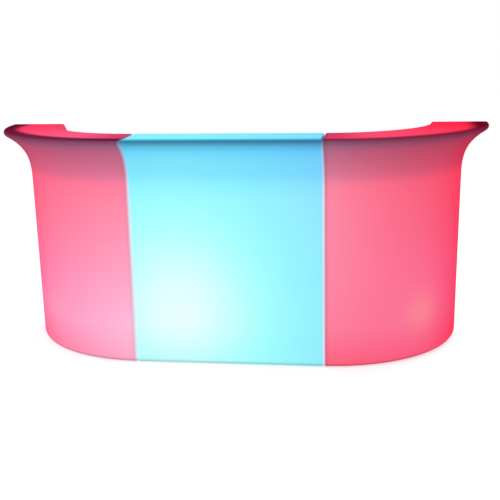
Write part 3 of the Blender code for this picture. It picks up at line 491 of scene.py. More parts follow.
def rounded_rectangle(low, high, radius, steps):
    """Points round a rectangle between two (x, z) corners, with round corners."""
    corners = (
        (high[0] - radius, high[1] - radius, 0), (low[0] + radius, high[1] - radius, 90),
        (low[0] + radius, low[1] + radius, 180), (high[0] - radius, low[1] + radius, 270),
    )
    found = []
    for x, z, start in corners:
        found += [point for point, _ in arc((x, z), radius, start, start + 90, steps)]
    return found


def bay_halves(corner):
    """Half the bay's width at its mouth and at its back."""
    if corner:
        margin = math.asin(CORNER_BAY_MARGIN / INNER_RADIUS)
        mouth = INNER_RADIUS * math.sin(math.radians(45) - margin)
    else:
        mouth = STRAIGHT_WIDTH / 2 - BAY_END_MARGIN
    return mouth, mouth - BAY_TAPER


def bay_half_at(corner, y):
    """Half the bay's width at a depth, on its tapered side walls."""
    mouth, back = bay_halves(corner)
    return back + (mouth - back) * (y - BAY_BACK) / (BASE_DEPTH - BAY_BACK)


def foot_places(corner):
    """The four feet of a module, in its frame."""
    if not corner:
        x = STRAIGHT_WIDTH / 2 - FOOT_END_INSET
        depths = (FOOT_EDGE_INSET, BASE_DEPTH - FOOT_EDGE_INSET)
        return [(side * x, y) for y in depths for side in (-1, 1)]
    places = []
    for radius in (CORNER_RADIUS - FOOT_EDGE_INSET, INNER_RADIUS + FOOT_EDGE_INSET):
        angle = math.radians(45) - math.asin(FOOT_END_INSET / radius)
        x, y = radius * math.sin(angle), CORNER_RADIUS - radius * math.cos(angle)
        places += [(side * x, y) for side in (-1, 1)]
    return places


def knob_levels():
    """Each knob's name, height, and seat as a distance from the straight module's middle."""
    wall = bay_half_at(False, BOLT_DEPTH_PLACE + KNOB_NECK_RADIUS + KNOB_SEAT_MARGIN)
    lower = (BAY_FLOOR + SHELF_HEIGHT) / 2
    upper = (SHELF_HEIGHT + SHELF_THICKNESS + BAY_CEILING) / 2
    return (
        ("lower", lower, wall - SHELF_LEDGE + KNOB_SEAT_DEPTH),
        ("upper", upper, wall + KNOB_SEAT_DEPTH),
    )


def rear_bulge(corner, x):
    """How far a corner module's round rear wall lies behind its middle."""
    if not corner:
        return 0.0
    return CORNER_RADIUS - BASE_DEPTH - math.sqrt(max(INNER_RADIUS**2 - x**2, 0.0))


def room_mesh(corner, inward, back_y, low, high, grown, steps):
    """A bay's tapered room, round at its back, and with a round mouth where it isn't grown."""
    mouth = 0.0 if grown else BAY_MOUTH_ROUND
    edge = quarter_round(steps)
    levels = [(back_y + BAY_ROUND * along, -BAY_ROUND * across, False) for across, along in edge]
    levels += [(BASE_DEPTH - mouth * across, mouth * along, True) for across, along in edge]
    levels.append((BASE_DEPTH + BAY_BACK, mouth, True))
    rings = []
    for y, spread, at_mouth in levels:
        half = bay_half_at(corner, y) - inward + spread
        outline = rounded_rectangle(
            (-half, low - spread), (half, high + spread), BAY_ROUND + spread + BAY_CORNER_SPARE,
            steps + 1,
        )
        rings.append([(x, y + (rear_bulge(corner, x) if at_mouth else 0.0), z) for x, z in outline])
    return lofted_mesh("room", rings)


def shell_cutters(name):
    """What is cut from a shell, and the same grown by the wall that stays round each cut."""
    corner = is_corner(name)
    own, lamp = module_frame(name), lamp_frame(name)
    cuts, keeps = [], []

    def add(mesh, place, group):
        mesh.transform(place)
        group.append(mesh)

    rooms = (
        (BAY_FLOOR, SHELF_HEIGHT + BAY_ROUND + WALL, SHELF_LEDGE), (SHELF_HEIGHT, BAY_CEILING, 0.0),
    )
    for low, high, ledge in rooms:
        for group, grown, steps in ((cuts, 0.0, 5), (keeps, WALL, 1)):
            back_y = BAY_BACK + ledge - grown
            mesh = room_mesh(corner, ledge - grown, back_y, low - grown, high + grown, grown, steps)
            add(mesh, own, group)
    half_width = PLATE_WIDTH / 2 + CLEARANCE
    half_height = PLATE_HEIGHT / 2 + CLEARANCE
    for group, grown in ((cuts, 0.0), (keeps, WALL)):
        outline = rounded_rectangle(
            (-half_width - grown, PLATE_CENTRE_Z - half_height - grown),
            (half_width + grown, PLATE_CENTRE_Z + half_height + grown), PLATE_CORNER + CLEARANCE, 4,
        )
        ends = (RECESS_PLANE - grown, REAR_FROM_LAMP + CUT_OVER)
        add(lofted_mesh("recess", [[(x, y, z) for x, z in outline] for y in ends]), lamp, group)
    half_width = CONTROL_BOX_WIDTH / 2 + CLEARANCE
    half_height = CONTROL_BOX_HEIGHT / 2 + CLEARANCE
    outline = rounded_rectangle(
        (-half_width, PLATE_CENTRE_Z - half_height), (half_width, PLATE_CENTRE_Z + half_height),
        CLEARANCE, 1,
    )
    ends = (RECESS_PLANE - 2 * WALL, RECESS_PLANE + WALL)
    add(lofted_mesh("window", [[(x, y, z) for x, z in outline] for y in ends]), lamp, cuts)
    wide, top = LID_RECESS_RADIUS, RECESS_CEILING
    profile = [
        (0, top + 2 * WALL), (OPENING_RADIUS, top + 2 * WALL), (OPENING_RADIUS, top), (wide, top),
        (wide, -WALL), (0, -WALL),
    ]
    add(turned_mesh("lamp_opening", profile, ROUND_SIDES), lamp, cuts)
    profile = [(0, top + WALL), (wide + WALL, top + WALL), (wide + WALL, -WALL), (0, -WALL)]
    add(turned_mesh("lamp_opening_wall", profile, ROUND_SIDES // 4), lamp, keeps)
    wide, narrow = FOOT_RADIUS + FOOT_POCKET_GAP, FOOT_STUD_RADIUS + CLEARANCE
    ceiling, top = FOOT_HEIGHT + CLEARANCE, FOOT_HEIGHT + FOOT_STUD_LENGTH + FOOT_HOLE_SPARE
    for x, y in foot_places(corner):
        for group, grown, sides in ((cuts, 0.0, 40), (keeps, WALL, 12)):
            profile = [
                (0, top + grown), (narrow + grown, top + grown), (narrow + grown, ceiling + grown),
                (wide + grown, ceiling + grown), (wide + grown, -WALL), (0, -WALL),
            ]
            place = own @ Matrix.Translation((x, y, 0))
            add(turned_mesh("foot_pocket", profile, sides), place, group)
    hole, reach = BOLT_RADIUS + CLEARANCE, KNOB_NECK_RADIUS + KNOB_SEAT_MARGIN
    across = (CORNER_RADIUS - BOLT_DEPTH_PLACE) * math.sin(math.radians(45))
    depth = BOLT_GRIP + BOLT_HOLE_SPARE
    end_x = STRAIGHT_WIDTH / 2 + WALL
    for _, height, seat in knob_levels():
        inner = seat - KNOB_SEAT_DEPTH - WALL
        for side in (-1, 1):
            if corner:
                place = Matrix.Translation((side * across, CORNER_RADIUS - across, height))
                turned = Matrix.Rotation(math.radians(side * 135), 4, "Z")
                turned = turned @ Matrix.Rotation(math.radians(90), 4, "X")
            else:
                place = Matrix.Translation((0, BOLT_DEPTH_PLACE, height))
                turned = Matrix.Rotation(math.radians(side * 90), 4, "Y")
            for group, grown, sides in ((cuts, 0.0, 32), (keeps, WALL, 12)):
                wide = hole + grown
                if corner:
                    profile = [(0, WALL), (wide, WALL), (wide, -depth - grown), (0, -depth - grown)]
                else:
                    profile = [
                        (0, end_x), (wide, end_x), (wide, seat + grown),
                        (reach + grown, seat + grown), (reach + grown, inner), (0, inner),
                    ]
                add(turned_mesh("bolt_hole", profile, sides), own @ place @ turned, group)
    return cuts, keeps


def boolean_with(target, meshes, operation="DIFFERENCE"):
    """A Boolean step with a collection of throwaway bodies."""
    group = bpy.data.collections.new("throwaway")
    bpy.context.scene.collection.children.link(group)
    for mesh in meshes:
        group.objects.link(bpy.data.objects.new(mesh.name, mesh))
    step = target.modifiers.new(operation.lower(), "BOOLEAN")
    step.operation = operation
    step.solver = "EXACT"
    step.operand_type = "COLLECTION"
    step.collection = group
    return group


def clear_group(group):
    for item in list(group.objects):
        bpy.data.objects.remove(item, do_unlink=True)
    bpy.data.collections.remove(group)


def round_ends(target, width, segments):
    """Rounds a shell's sharp end edges."""
    step = target.modifiers.new("round_edges", "BEVEL")
    step.width = width
    step.segments = segments
    step.limit_method = "ANGLE"
    step.angle_limit = math.radians(60)
    step.use_clamp_overlap = False


def trimmed(form, inset):
    """Cuts a corner module's sweep, which runs a step too far, back to its two end planes."""
    axis = Vector((0, CORNER_RADIUS, 0))
    for side in (-1, 1):
        outward = Vector((side * math.cos(math.radians(45)), math.sin(math.radians(45)), 0))
        cut = bmesh.ops.bisect_plane(
            form, geom=form.verts[:] + form.edges[:] + form.faces[:], clear_outer=True,
            plane_co=axis - inset * outward, plane_no=outward, dist=CUT_TOLERANCE,
        )
        rim = [item for item in cut["geom_cut"] if isinstance(item, bmesh.types.BMEdge)]
        bmesh.ops.edgeloop_fill(form, edges=rim)


def shell_body(name, inset, fine, steps, finish):
    """The sweep of the section along a module, closed and facing outwards."""
    corner = is_corner(name)
    outline = section_curve("shell_section", inset, fine)
    swept = mesh_from_tree(f"shell_{name}", shell_tree, {
        "Section": outline, "Length": STRAIGHT_WIDTH - 2 * CLEARANCE - 2 * inset,
        "Radius": CORNER_RADIUS, "Steps": steps, "Round": corner, "Finish": finish,
    })
    bpy.data.objects.remove(outline, do_unlink=True)
    form = bmesh.new()
    form.from_mesh(swept)
    bmesh.ops.remove_doubles(form, verts=form.verts, dist=SAME_POINT)
    if corner:
        trimmed(form, inset)
    mesh = mesh_of(form, f"shell_{name}")
    mesh.transform(module_frame(name))
    return mesh


def shell_mesh(name, finish):
    """A shell: the swept outer form, less the air in it, less its bay, recesses and holes."""
    cuts, keeps = shell_cutters(name)
    outer_mesh = shell_body(name, 0.0, OUTER_FINENESS, CORNER_STEPS, finish)
    outer = add_object(f"outer_{name}", outer_mesh)
    air = add_object(f"air_{name}", shell_body(name, WALL, AIR_FINENESS, AIR_STEPS, finish))
    round_ends(air, END_EDGE_RADIUS - WALL, 1)
    kept = boolean_with(air, keeps)
    air_mesh = plain_mesh("air", air)
    clear_group(kept)
    round_ends(outer, END_EDGE_RADIUS, END_EDGE_STEPS)
    hollow = boolean_with(outer, [air_mesh])
    cut = boolean_with(outer, cuts)
    mesh = plain_mesh(f"shell_{name}", outer)
    clear_group(hollow)
    clear_group(cut)
    form = bmesh.new()
    form.from_mesh(mesh)
    bmesh.ops.remove_doubles(form, verts=form.verts, dist=SAME_POINT)
    form.to_mesh(mesh)
    form.free()
    return mesh


def linear(red, green, blue):
    """A colour given in the usual 0 to 255 steps, as the renderer's plain light amounts."""
    steps = [value / 255 for value in (red, green, blue)]
    return tuple(v / 12.92 if v <= 0.04045 else ((v + 0.055) / 1.055) ** 2.4 for v in steps)


def ramp(tree, place, stops):
    """A colour ramp through (place, colour) stops."""
    made = add_node(tree, "ShaderNodeValToRGB", {"Fac": place})
    elements = made.color_ramp.elements
    while len(elements) > 1:
        elements.remove(elements[-1])
    for number, (at, colour) in enumerate(stops):
        stop = elements[0] if number == 0 else elements.new(at)
        stop.position = at
        stop.color = (*colour, 1)
    return made.outputs["Color"]


def mix_colours(tree, amount, one, two, kind="MIX"):
    """A Mix node for colours. The amount, and either colour, may be a value or a socket."""
    made = add_node(tree, "ShaderNodeMix", data_type="RGBA", blend_type=kind)
    sockets = {item.identifier: item for item in made.inputs}
    for label, value in (("Factor_Float", amount), ("A_Color", one), ("B_Color", two)):
        if isinstance(value, bpy.types.NodeSocket):
            tree.links.new(value, sockets[label])
        elif label == "Factor_Float":
            sockets[label].default_value = value
        else:
            sockets[label].default_value = (*value, 1)
    return next(item for item in made.outputs if item.identifier == "Result_Color")


def tinted(tree, one, two):
    """A colour times another colour or value."""
    return mix_colours(tree, 1.0, one, two, "MULTIPLY")


def smooth_step(tree, value, low, high):
    """0 below low, 1 above high, and smooth between."""
    made = add_node(
        tree, "ShaderNodeMapRange", {"Value": value, "From Min": low, "From Max": high},
        interpolation_type="SMOOTHSTEP",
    )
    return made.outputs["Result"]


def texture_range(tree, value, low, high):
    """A texture's 0 to 1 brought between two values."""
    made = add_node(tree, "ShaderNodeMapRange", {"Value": value, "To Min": low, "To Max": high})
    return made.outputs["Result"]


def noise(tree, place, scale, detail):
    """A noise between 0 and 1."""
    inputs = {"Vector": place, "Scale": scale, "Detail": detail}
    return add_node(tree, "ShaderNodeTexNoise", inputs).outputs["Fac"]


def bump(tree, height, strength, distance):
    """The normal that a height makes."""
    inputs = {"Height": height, "Strength": strength, "Distance": distance}
    return add_node(tree, "ShaderNodeBump", inputs).outputs[0]


def object_place(tree):
    """The place on the object, in metres."""
    return add_node(tree, "ShaderNodeTexCoord").outputs["Object"]


def coat(tree, surface, inputs):
    """Puts a Principled shader with the given inputs on a material's surface."""
    shader = add_node(tree, "ShaderNodeBsdfPrincipled", inputs)
    tree.links.new(shader.outputs[0], surface.inputs["Surface"])


# The shells' glow is painted light, set by distance from each lamp; all darkening is painted shade.
GLOW_SHARE = 0.84
PAINT_SHARE = 0.16
BODY_CEILING = 0.85
LOW_DIM_HEIGHT = 0.20
LOW_DIM_SLOPE = 1.8
MIDDLE_LIGHT = {
    "lamp": (-0.237, -0.153, 0.242), "flatten": 0.834, "spread": 0.324, "red": (0.572, 0.300),
    "green": (-0.497, 1.218), "green_range": (0.55, 1.0),
}
CORNER_LIGHT = {
    "left": {
        "spill": (-0.27, -0.153, -0.581), "flatten": 0.600, "green": (1.429, 0.495),
        "blue": (1.702, 0.583), "glow": (0.002, 0.066), "spot": 0.10,
    },
    "right": {
        "spill": (-0.27, -0.153, 0.795), "flatten": 0.788, "green": (0.976, 0.562),
        "blue": (1.141, 0.675), "glow": (0.060, 0.142), "spot": 0.264,
    },
}
CORNER_LAMP_HEIGHT = 0.235
CORNER_GLOW_SPREAD = 0.42
CORNER_SPOT_SPREAD = 0.10
SHADE_START = 0.80
SHADE_SPAN = 0.30
MIDDLE_FLARE_SHADE = (
    (0.800, (1.00, 1.00, 1.00)), (0.875, (0.88, 0.96, 1.00)), (0.925, (0.71, 0.85, 1.00)),
    (1.000, (0.62, 0.84, 1.00)), (1.040, (0.50, 0.76, 1.00)), (1.070, (0.33, 0.56, 0.76)),
    (1.088, (0.17, 0.26, 0.39)), (1.0965, (0.09, 0.23, 0.35)),
)
CORNER_FLARE_SHADE = (
    (0.800, (1.00, 1.00, 1.00)), (0.875, (0.98, 0.94, 0.97)), (0.925, (0.71, 0.79, 0.85)),
    (1.000, (0.59, 0.64, 0.73)), (1.040, (0.51, 0.59, 0.69)), (1.070, (0.34, 0.54, 0.62)),
    (1.088, (0.22, 0.32, 0.40)), (1.0965, (0.18, 0.12, 0.24)),
)
LEDGE_SHADE = {
    "middle": (0.100, (0.68, 0.90, 0.98), (0.30, 0.52, 0.66)),
    "left": (0.072, (0.95, 0.50, 0.68), (0.14, 0.09, 0.16)),
    "right": (0.113, (0.96, 0.40, 0.58), (0.28, 0.16, 0.22)),
}
LEDGE_FADE_BEFORE = 0.030
LEDGE_FADE_AFTER = 0.025
LEDGE_TOP = (1.0968, 1.0992)
# Painted shade: the ledge's rounded rear edge is darkened.
LEDGE_REAR_EDGE = (-0.112, -0.140)
LEDGE_REAR_SHADE = {
    "middle": (0.91, 0.47, 0.47), "left": (0.74, 0.78, 0.80), "right": (0.74, 0.78, 0.80),
}
SEAM_GLOW = linear(232, 236, 252)
SEAM_GLOW_SHARE = 0.92
SEAM_SPREAD = {"middle": 0.0042, "left": 0.0075, "right": 0.0065}
SEAM_SHADE = {"left": 0.20, "right": 0.42}
SEAM_SHADE_WIDTH = 0.015
# Painted shade: the corner ledges darken towards the seam.
SEAM_LEDGE_SHADE = {"left": 0.30, "right": 0.27}
SEAM_LEDGE_DARKENING = (0.68, 0.40, 0.55)
# Painted shade: the corner modules get less green and blue light towards their far ends.
FAR_END = (-0.12, 0.25)
FAR_END_SHADE = {"left": (1.00, 0.80, 0.90), "right": (1.00, 0.67, 0.80)}
# Painted shade: the corner ledges go near black towards the counter's outer tips.
TIP = (1.10, 1.19)
TIP_SHADE = (0.13, 0.06, 0.12)
# Painted shade: the rear surfaces darken upwards, where the hollow is narrow.
REAR_UPPER_SHADE = {"middle": (0.84, 0.90, 0.98), "left": (0.88, 0.62, 0.74), "right": (0.88, 0.62, 0.74)}
REAR_RISE = (0.86, 1.08)
REAR_START_ON_TOP = -0.120
REAR_FULL = -0.150
NOOK_DEPTH = 0.22
NOOK_SHADE = 0.30
NOOKS = (-0.050, -0.200)
FOOT_DIM_HEIGHT = 0.030
FOOT_DIM = 0.62
# No painted shade: white, which leaves a colour as it is.
UNSHADED = (1.0, 1.0, 1.0)


def distance_from(tree, place, point, flatten):
    """Distance from a point, with heights counted by a share."""
    scale = (1.0, 1.0, flatten)
    squeezed = add_node(tree, "ShaderNodeVectorMath", {0: place, 1: scale}, operation="MULTIPLY")
    target = tuple(value * share for value, share in zip(point, scale))
    ends = {0: squeezed.outputs[0], 1: target}
    return add_node(tree, "ShaderNodeVectorMath", ends, operation="DISTANCE").outputs["Value"]


def falloff(tree, distance, length):
    """Light that fades with distance."""
    return math_node(tree, "EXPONENT", math_node(tree, "MULTIPLY", distance, -1 / length))


def spot(tree, distance, width):
    """A round patch of light."""
    share = math_node(tree, "DIVIDE", distance, width)
    squared = math_node(tree, "MULTIPLY", share, share)
    return math_node(tree, "EXPONENT", math_node(tree, "MULTIPLY", squared, -1.0))


def middle_light(tree, place, low):
    """Cyan light, white near the lamp: only its red part fades strongly along the module."""
    light = MIDDLE_LIGHT
    away = distance_from(tree, place, light["lamp"], light["flatten"])
    near = math_node(tree, "MULTIPLY", spot(tree, away, light["spread"]), low)
    least, most = light["green_range"]
    green = math_node(tree, "MULTIPLY_ADD", away, *light["green"])
    green = math_node(tree, "MINIMUM", math_node(tree, "MAXIMUM", green, least), most)
    red = math_node(tree, "MULTIPLY_ADD", near, *light["red"])
    return {"Red": red, "Green": green, "Blue": 1.0}


def corner_light(tree, name, place, low):
    """Pink light. The cyan module adds green and blue through the seam, and the own lamp a spot."""
    light = CORNER_LIGHT[name]
    away = distance_from(tree, place, light["spill"], light["flatten"])
    own = distance_from(tree, place, lamp_frame(name) @ Vector((0, 0, CORNER_LAMP_HEIGHT)), 1.0)
    wide = spot(tree, own, CORNER_GLOW_SPREAD)
    parts = {"Red": 1.0}
    for label, glow in zip(("green", "blue"), light["glow"]):
        amount, length = light[label]
        spill = math_node(tree, "MULTIPLY", falloff(tree, away, length), amount)
        spill = math_node(tree, "MULTIPLY", spill, low)
        parts[label.title()] = math_node(tree, "MULTIPLY_ADD", wide, glow, spill)
    hot = spot(tree, own, CORNER_SPOT_SPREAD)
    parts["Green"] = math_node(tree, "MULTIPLY_ADD", hot, light["spot"], parts["Green"])
    return parts


def shell_finish(name):
    """Milky polyethylene lit from inside: bright by its lamp, dim where the hollow is narrow."""
    corner = is_corner(name)
    finish, tree, surface = new_material(f"polyethylene_{name}")
    place = object_place(tree)
    parts = add_node(tree, "ShaderNodeSeparateXYZ", {"Vector": place}).outputs
    x, y, z = parts["X"], parts["Y"], parts["Z"]
    if corner:
        flat = add_node(tree, "ShaderNodeCombineXYZ", {"X": x, "Y": y}).outputs[0]
        axis = (MODULES[name] * STRAIGHT_WIDTH / 2, FRONT_LINE_Y + CORNER_RADIUS, 0)
        from_axis = add_node(tree, "ShaderNodeVectorMath", {0: flat, 1: axis}, operation="DISTANCE")
        reach = math_node(tree, "SUBTRACT", from_axis.outputs["Value"], CORNER_RADIUS)
    else:
        reach = math_node(tree, "SUBTRACT", FRONT_LINE_Y, y)

    low = math_node(tree, "SUBTRACT", LOW_DIM_HEIGHT, z, clamp=True)
    low = math_node(tree, "ADD", math_node(tree, "MULTIPLY", low, -LOW_DIM_SLOPE), 1.0)
    capped = add_node(tree, "ShaderNodeCombineXYZ", {
        "X": x, "Y": y, "Z": math_node(tree, "MINIMUM", z, BODY_CEILING),
    }).outputs[0]
    light = corner_light(tree, name, capped, low) if corner else middle_light(tree, capped, low)
    colour = add_node(tree, "ShaderNodeCombineColor", light).outputs[0]

    distance_from_middle = math_node(tree, "ABSOLUTE", x)
    edge = math_node(tree, "SUBTRACT", distance_from_middle, STRAIGHT_WIDTH / 2)
    # Corners: painted shade beside the seam and towards the far end.
    if corner:
        shadow = spot(tree, edge, SEAM_SHADE_WIDTH)
        shadow = math_node(tree, "MULTIPLY_ADD", shadow, -SEAM_SHADE[name], 1.0)
        colour = tinted(tree, colour, shadow)
        far_end = smooth_step(tree, y, *FAR_END)
        colour = tinted(tree, colour, mix_colours(tree, far_end, UNSHADED, FAR_END_SHADE[name]))
    seam = math_node(tree, "MULTIPLY", spot(tree, edge, SEAM_SPREAD[name]), SEAM_GLOW_SHARE)
    colour = mix_colours(tree, seam, colour, SEAM_GLOW)

    climb = math_node(tree, "DIVIDE", math_node(tree, "SUBTRACT", z, SHADE_START), SHADE_SPAN)
    stops = CORNER_FLARE_SHADE if corner else MIDDLE_FLARE_SHADE
    stops = [((height - SHADE_START) / SHADE_SPAN, shade) for height, shade in stops]
    front_shade = ramp(tree, climb, stops)
    fade_reach, bright, dim = LEDGE_SHADE[name]
    fade = smooth_step(tree, reach, fade_reach - LEDGE_FADE_BEFORE, fade_reach + LEDGE_FADE_AFTER)
    ledge_shade = mix_colours(tree, fade, bright, dim)
    if corner:
        # Painted shade on the corner ledge beside the seam.
        beside = smooth_step(tree, edge, SEAM_LEDGE_SHADE[name], 0.0)
        dimmed = tinted(tree, ledge_shade, SEAM_LEDGE_DARKENING)
        ledge_shade = mix_colours(tree, beside, ledge_shade, dimmed)
        # Painted shade at the ledge's outer tip.
        tip = smooth_step(tree, distance_from_middle, *TIP)
        ledge_shade = mix_colours(tree, tip, ledge_shade, TIP_SHADE)
    # Painted shade along the ledge's rear edge.
    rear_edge = smooth_step(tree, reach, *LEDGE_REAR_EDGE)
    dimmed = tinted(tree, ledge_shade, LEDGE_REAR_SHADE[name])
    ledge_shade = mix_colours(tree, rear_edge, ledge_shade, dimmed)
    on_top = smooth_step(tree, z, *LEDGE_TOP)
    front_shade = mix_colours(tree, on_top, front_shade, ledge_shade)
    # Painted shade on the rear surfaces, darker upwards.
    rear_shade = mix_colours(tree, smooth_step(tree, z, *REAR_RISE), UNSHADED, REAR_UPPER_SHADE[name])
    rear_start = math_node(tree, "MULTIPLY", on_top, REAR_START_ON_TOP)
    behind = smooth_step(tree, reach, rear_start, REAR_FULL)
    shade = mix_colours(tree, behind, front_shade, rear_shade)
    nook = add_node(tree, "ShaderNodeAmbientOcclusion", {"Distance": NOOK_DEPTH}, samples=8)
    nook_light = texture_range(tree, nook.outputs["AO"], NOOK_SHADE, 1.0)
    nook_light = mix_colours(tree, smooth_step(tree, reach, *NOOKS), UNSHADED, nook_light)
    colour = tinted(tree, colour, tinted(tree, shade, nook_light))
    foot = smooth_step(tree, z, FLOOR_GAP, FOOT_DIM_HEIGHT)
    colour = tinted(tree, colour, texture_range(tree, foot, FOOT_DIM, 1.0))

    mottle = texture_range(tree, noise(tree, place, 9.0, 3.0), 0.985, 1.015)
    colour = tinted(tree, colour, mottle)
    skin = noise(tree, place, 260.0, 2.0)
    coat(tree, surface, {
        "Base Color": tinted(tree, colour, (PAINT_SHARE,) * 3),
        "Roughness": texture_range(tree, skin, 0.38, 0.50), "Specular IOR Level": 0.0,
        "Normal": bump(tree, skin, 0.25, 0.0003), "Emission Color": colour,
        "Emission Strength": GLOW_SHARE,
    })
    return finish


def dress(name, mesh, place, finish, body, slot, *nodes, smooth=35):
    """A finished piece: its mesh moved to its place, in its material, in place of its solids."""
    mesh.transform(place)
    mesh.materials.clear()
    mesh.materials.append(finish)
    mesh.shade_smooth()
    mesh.set_sharp_from_angle(angle=math.radians(smooth))
    piece = add_object(name, mesh)
    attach(piece, body)
    if nodes:
        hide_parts(*nodes)
    return piece


for name in MODULES:
    finish = shell_finish(name)
    dress(
        f"glowing_shell_{name}", shell_mesh(name, finish), Matrix(), finish, "counter",
        f"shell_{name}", f"shell_{name}", smooth=40,
    )


# The shelves: loose boards of white foamed plastic that lie on the bay's ledges. Shallow grooves
# across the top keep glasses from sliding, and every edge is milled round.
SHELF_SIDE_GAP = 0.003
SHELF_SETBACK = 0.020
SHELF_ROUND = 0.005
SHELF_ROUND_STEPS = 5
GROOVE_PITCH = 0.024
GROOVE_WIDTH = 0.005
GROOVE_DEPTH = 0.0012
GROOVE_MARGIN = 0.022
SHELF_WHITE = linear(238, 238, 234)


def grain(tree, place, scale, strength, height=0.0002):
    """A noise for fine grain, and the bump that it makes."""
    skin = noise(tree, place, scale, 4.0)
    return skin, bump(tree, skin, strength, height)


def moulded_finish(name, colour, roughness, grain_scale=900.0):
    """Moulded plastic with an eroded, fine-grained skin and faintly uneven colour."""
    finish, tree, surface = new_material(name)
    place = object_place(tree)
    skin, relief = grain(tree, place, grain_scale, 0.35)
    cloud = texture_range(tree, noise(tree, place, 14.0, 2.0), 0.95, 1.04)
    coat(tree, surface, {
        "Base Color": tinted(tree, colour, cloud), "Normal": relief,
        "Roughness": texture_range(tree, skin, roughness - 0.08, roughness + 0.12),
    })
    return finish


def shelf_outline(back, front, low, high):
    """The board's (y, z) outline, with its grooves cut into the top edge."""
    outline = rounded_rectangle((back, low), (front, high), SHELF_ROUND, SHELF_ROUND_STEPS)
    count = int((front - back - 2 * GROOVE_MARGIN) / GROOVE_PITCH)
    y = (back + front + count * GROOVE_PITCH) / 2
    grooves = []
    for _ in range(count + 1):
        for across, depth in ((0.5, 0.0), (0.25, GROOVE_DEPTH), (-0.25, GROOVE_DEPTH), (-0.5, 0.0)):
            grooves.append((y + across * GROOVE_WIDTH, high - depth))
        y -= GROOVE_PITCH
    front_corner = len(outline) // 4
    return outline[:front_corner] + grooves + outline[front_corner:]


def shelf_mesh(name):
    """The board, as wide as the tapered bay at each depth."""
    back, front = BAY_BACK + SHELF_SIDE_GAP, BASE_DEPTH - SHELF_SETBACK
    low = SHELF_HEIGHT + CLEARANCE
    outline = shelf_outline(back, front, low, low + SHELF_THICKNESS)
    middle_y, middle_z = (back + front) / 2, low + SHELF_THICKNESS / 2
    rings = []
    edge = quarter_round(SHELF_ROUND_STEPS)
    for side, order in ((-1, reversed(edge)), (1, edge)):
        for across, along in order:
            narrow = SHELF_SIDE_GAP + SHELF_ROUND * across
            shrink_y = 1 - 2 * SHELF_ROUND * along / (front - back)
            shrink_z = 1 - 2 * SHELF_ROUND * along / SHELF_THICKNESS
            rings.append([
                (side * (bay_half_at(is_corner(name), y) - narrow),
                 middle_y + (y - middle_y) * shrink_y, middle_z + (z - middle_z) * shrink_z)
                for y, z in outline
            ])
    return lofted_mesh(f"shelf_{name}", rings)


shelf_finish = moulded_finish("foamed_board", SHELF_WHITE, 0.42, 700.0)
for name in MODULES:
    dress(
        f"shelf_board_{name}", shelf_mesh(name), module_frame(name), shelf_finish, f"shelf_{name}",
        "shelf", f"shelf_{name}",
    )


# The lamp lids: turned grey lids that close the underside. A collar reaches into the shell and
# holds the battery, and eight steel pan-head screws go through the flange.
LID_THICKNESS = 0.004
LID_NECK = 0.013
LID_FLOOR_RISE = 0.002
LID_CHAMFER = 0.0012
LID_PANEL_RADIUS = 0.050
LID_PANEL_DEPTH = 0.0008
SEAL_THICKNESS = 0.0024
BATTERY_WIDTH = 0.076
LID_SCREWS = 8
LID_SCREW_RING = 0.0610
SCREW_RADIUS = 0.0030
SCREW_HEIGHT = 0.0018
SCREW_SIDES = 24
LID_GREY = linear(222, 223, 225)
STEEL = linear(205, 207, 210)
LID_NECK_RADIUS = OPENING_RADIUS - LID_SIDE_GAP
FLANGE_TOP = RECESS_CEILING - SEAL_THICKNESS - 2 * CLEARANCE
FLANGE_LOW = FLANGE_TOP - LID_THICKNESS
LID_FLOOR = FLANGE_TOP + LID_FLOOR_RISE

ring_tree, given, result = tree_with_inputs("copies_on_ring", (
    ("Copy", "NodeSocketObject"), ("Count", "NodeSocketInt"), ("Radius", "NodeSocketFloat"),
    ("Height", "NodeSocketFloat"), ("Finish", "NodeSocketMaterial"),
))
ring = add_node(ring_tree, "GeometryNodeMeshCircle", {
    "Vertices": given["Count"], "Radius": given["Radius"],
})
number = add_node(ring_tree, "GeometryNodeInputIndex").outputs[0]
turned = math_node(ring_tree, "MULTIPLY", number, math.tau)
share = math_node(ring_tree, "DIVIDE", turned, given["Count"])
facing = add_node(ring_tree, "FunctionNodeEulerToRotation", {
    "Euler": add_node(ring_tree, "ShaderNodeCombineXYZ", {"Z": share}).outputs[0],
})
copied = add_node(ring_tree, "GeometryNodeObjectInfo", {
    "Object": given["Copy"], "As Instance": True,
})
copies = add_node(ring_tree, "GeometryNodeInstanceOnPoints", {
    "Points": ring.outputs[0], "Instance": copied.outputs["Geometry"],
    "Rotation": facing.outputs[0],
})
raised = add_node(ring_tree, "GeometryNodeTransform", {
    "Geometry": copies.outputs[0],
    "Translation": add_node(ring_tree, "ShaderNodeCombineXYZ", {"Z": given["Height"]}).outputs[0],
})
finish_tree(ring_tree, raised.outputs[0], given["Finish"], result)

grid_tree, given, result = tree_with_inputs("copies_at_corners", (
    ("Copy", "NodeSocketObject"), ("Width", "NodeSocketFloat"), ("Depth", "NodeSocketFloat"),
    ("Finish", "NodeSocketMaterial"),
))
corners = add_node(grid_tree, "GeometryNodeMeshGrid", {
    "Size X": given["Width"], "Size Y": given["Depth"], "Vertices X": 2, "Vertices Y": 2,
})
copied = add_node(grid_tree, "GeometryNodeObjectInfo", {
    "Object": given["Copy"], "As Instance": True,
})
copies = add_node(grid_tree, "GeometryNodeInstanceOnPoints", {
    "Points": corners.outputs["Mesh"], "Instance": copied.outputs["Geometry"],
})
finish_tree(grid_tree, copies.outputs[0], given["Finish"], result)


def copies_mesh(name, tree, copy, finish, **values):
    """Copies of a small mesh, placed by a Geometry Nodes tree, as one plain mesh."""
    holder = add_object(f"{name}_copy", copy)
    mesh = mesh_from_tree(name, tree, {"Copy": holder, "Finish": finish, **values})
    bpy.data.objects.remove(holder, do_unlink=True)
    return mesh


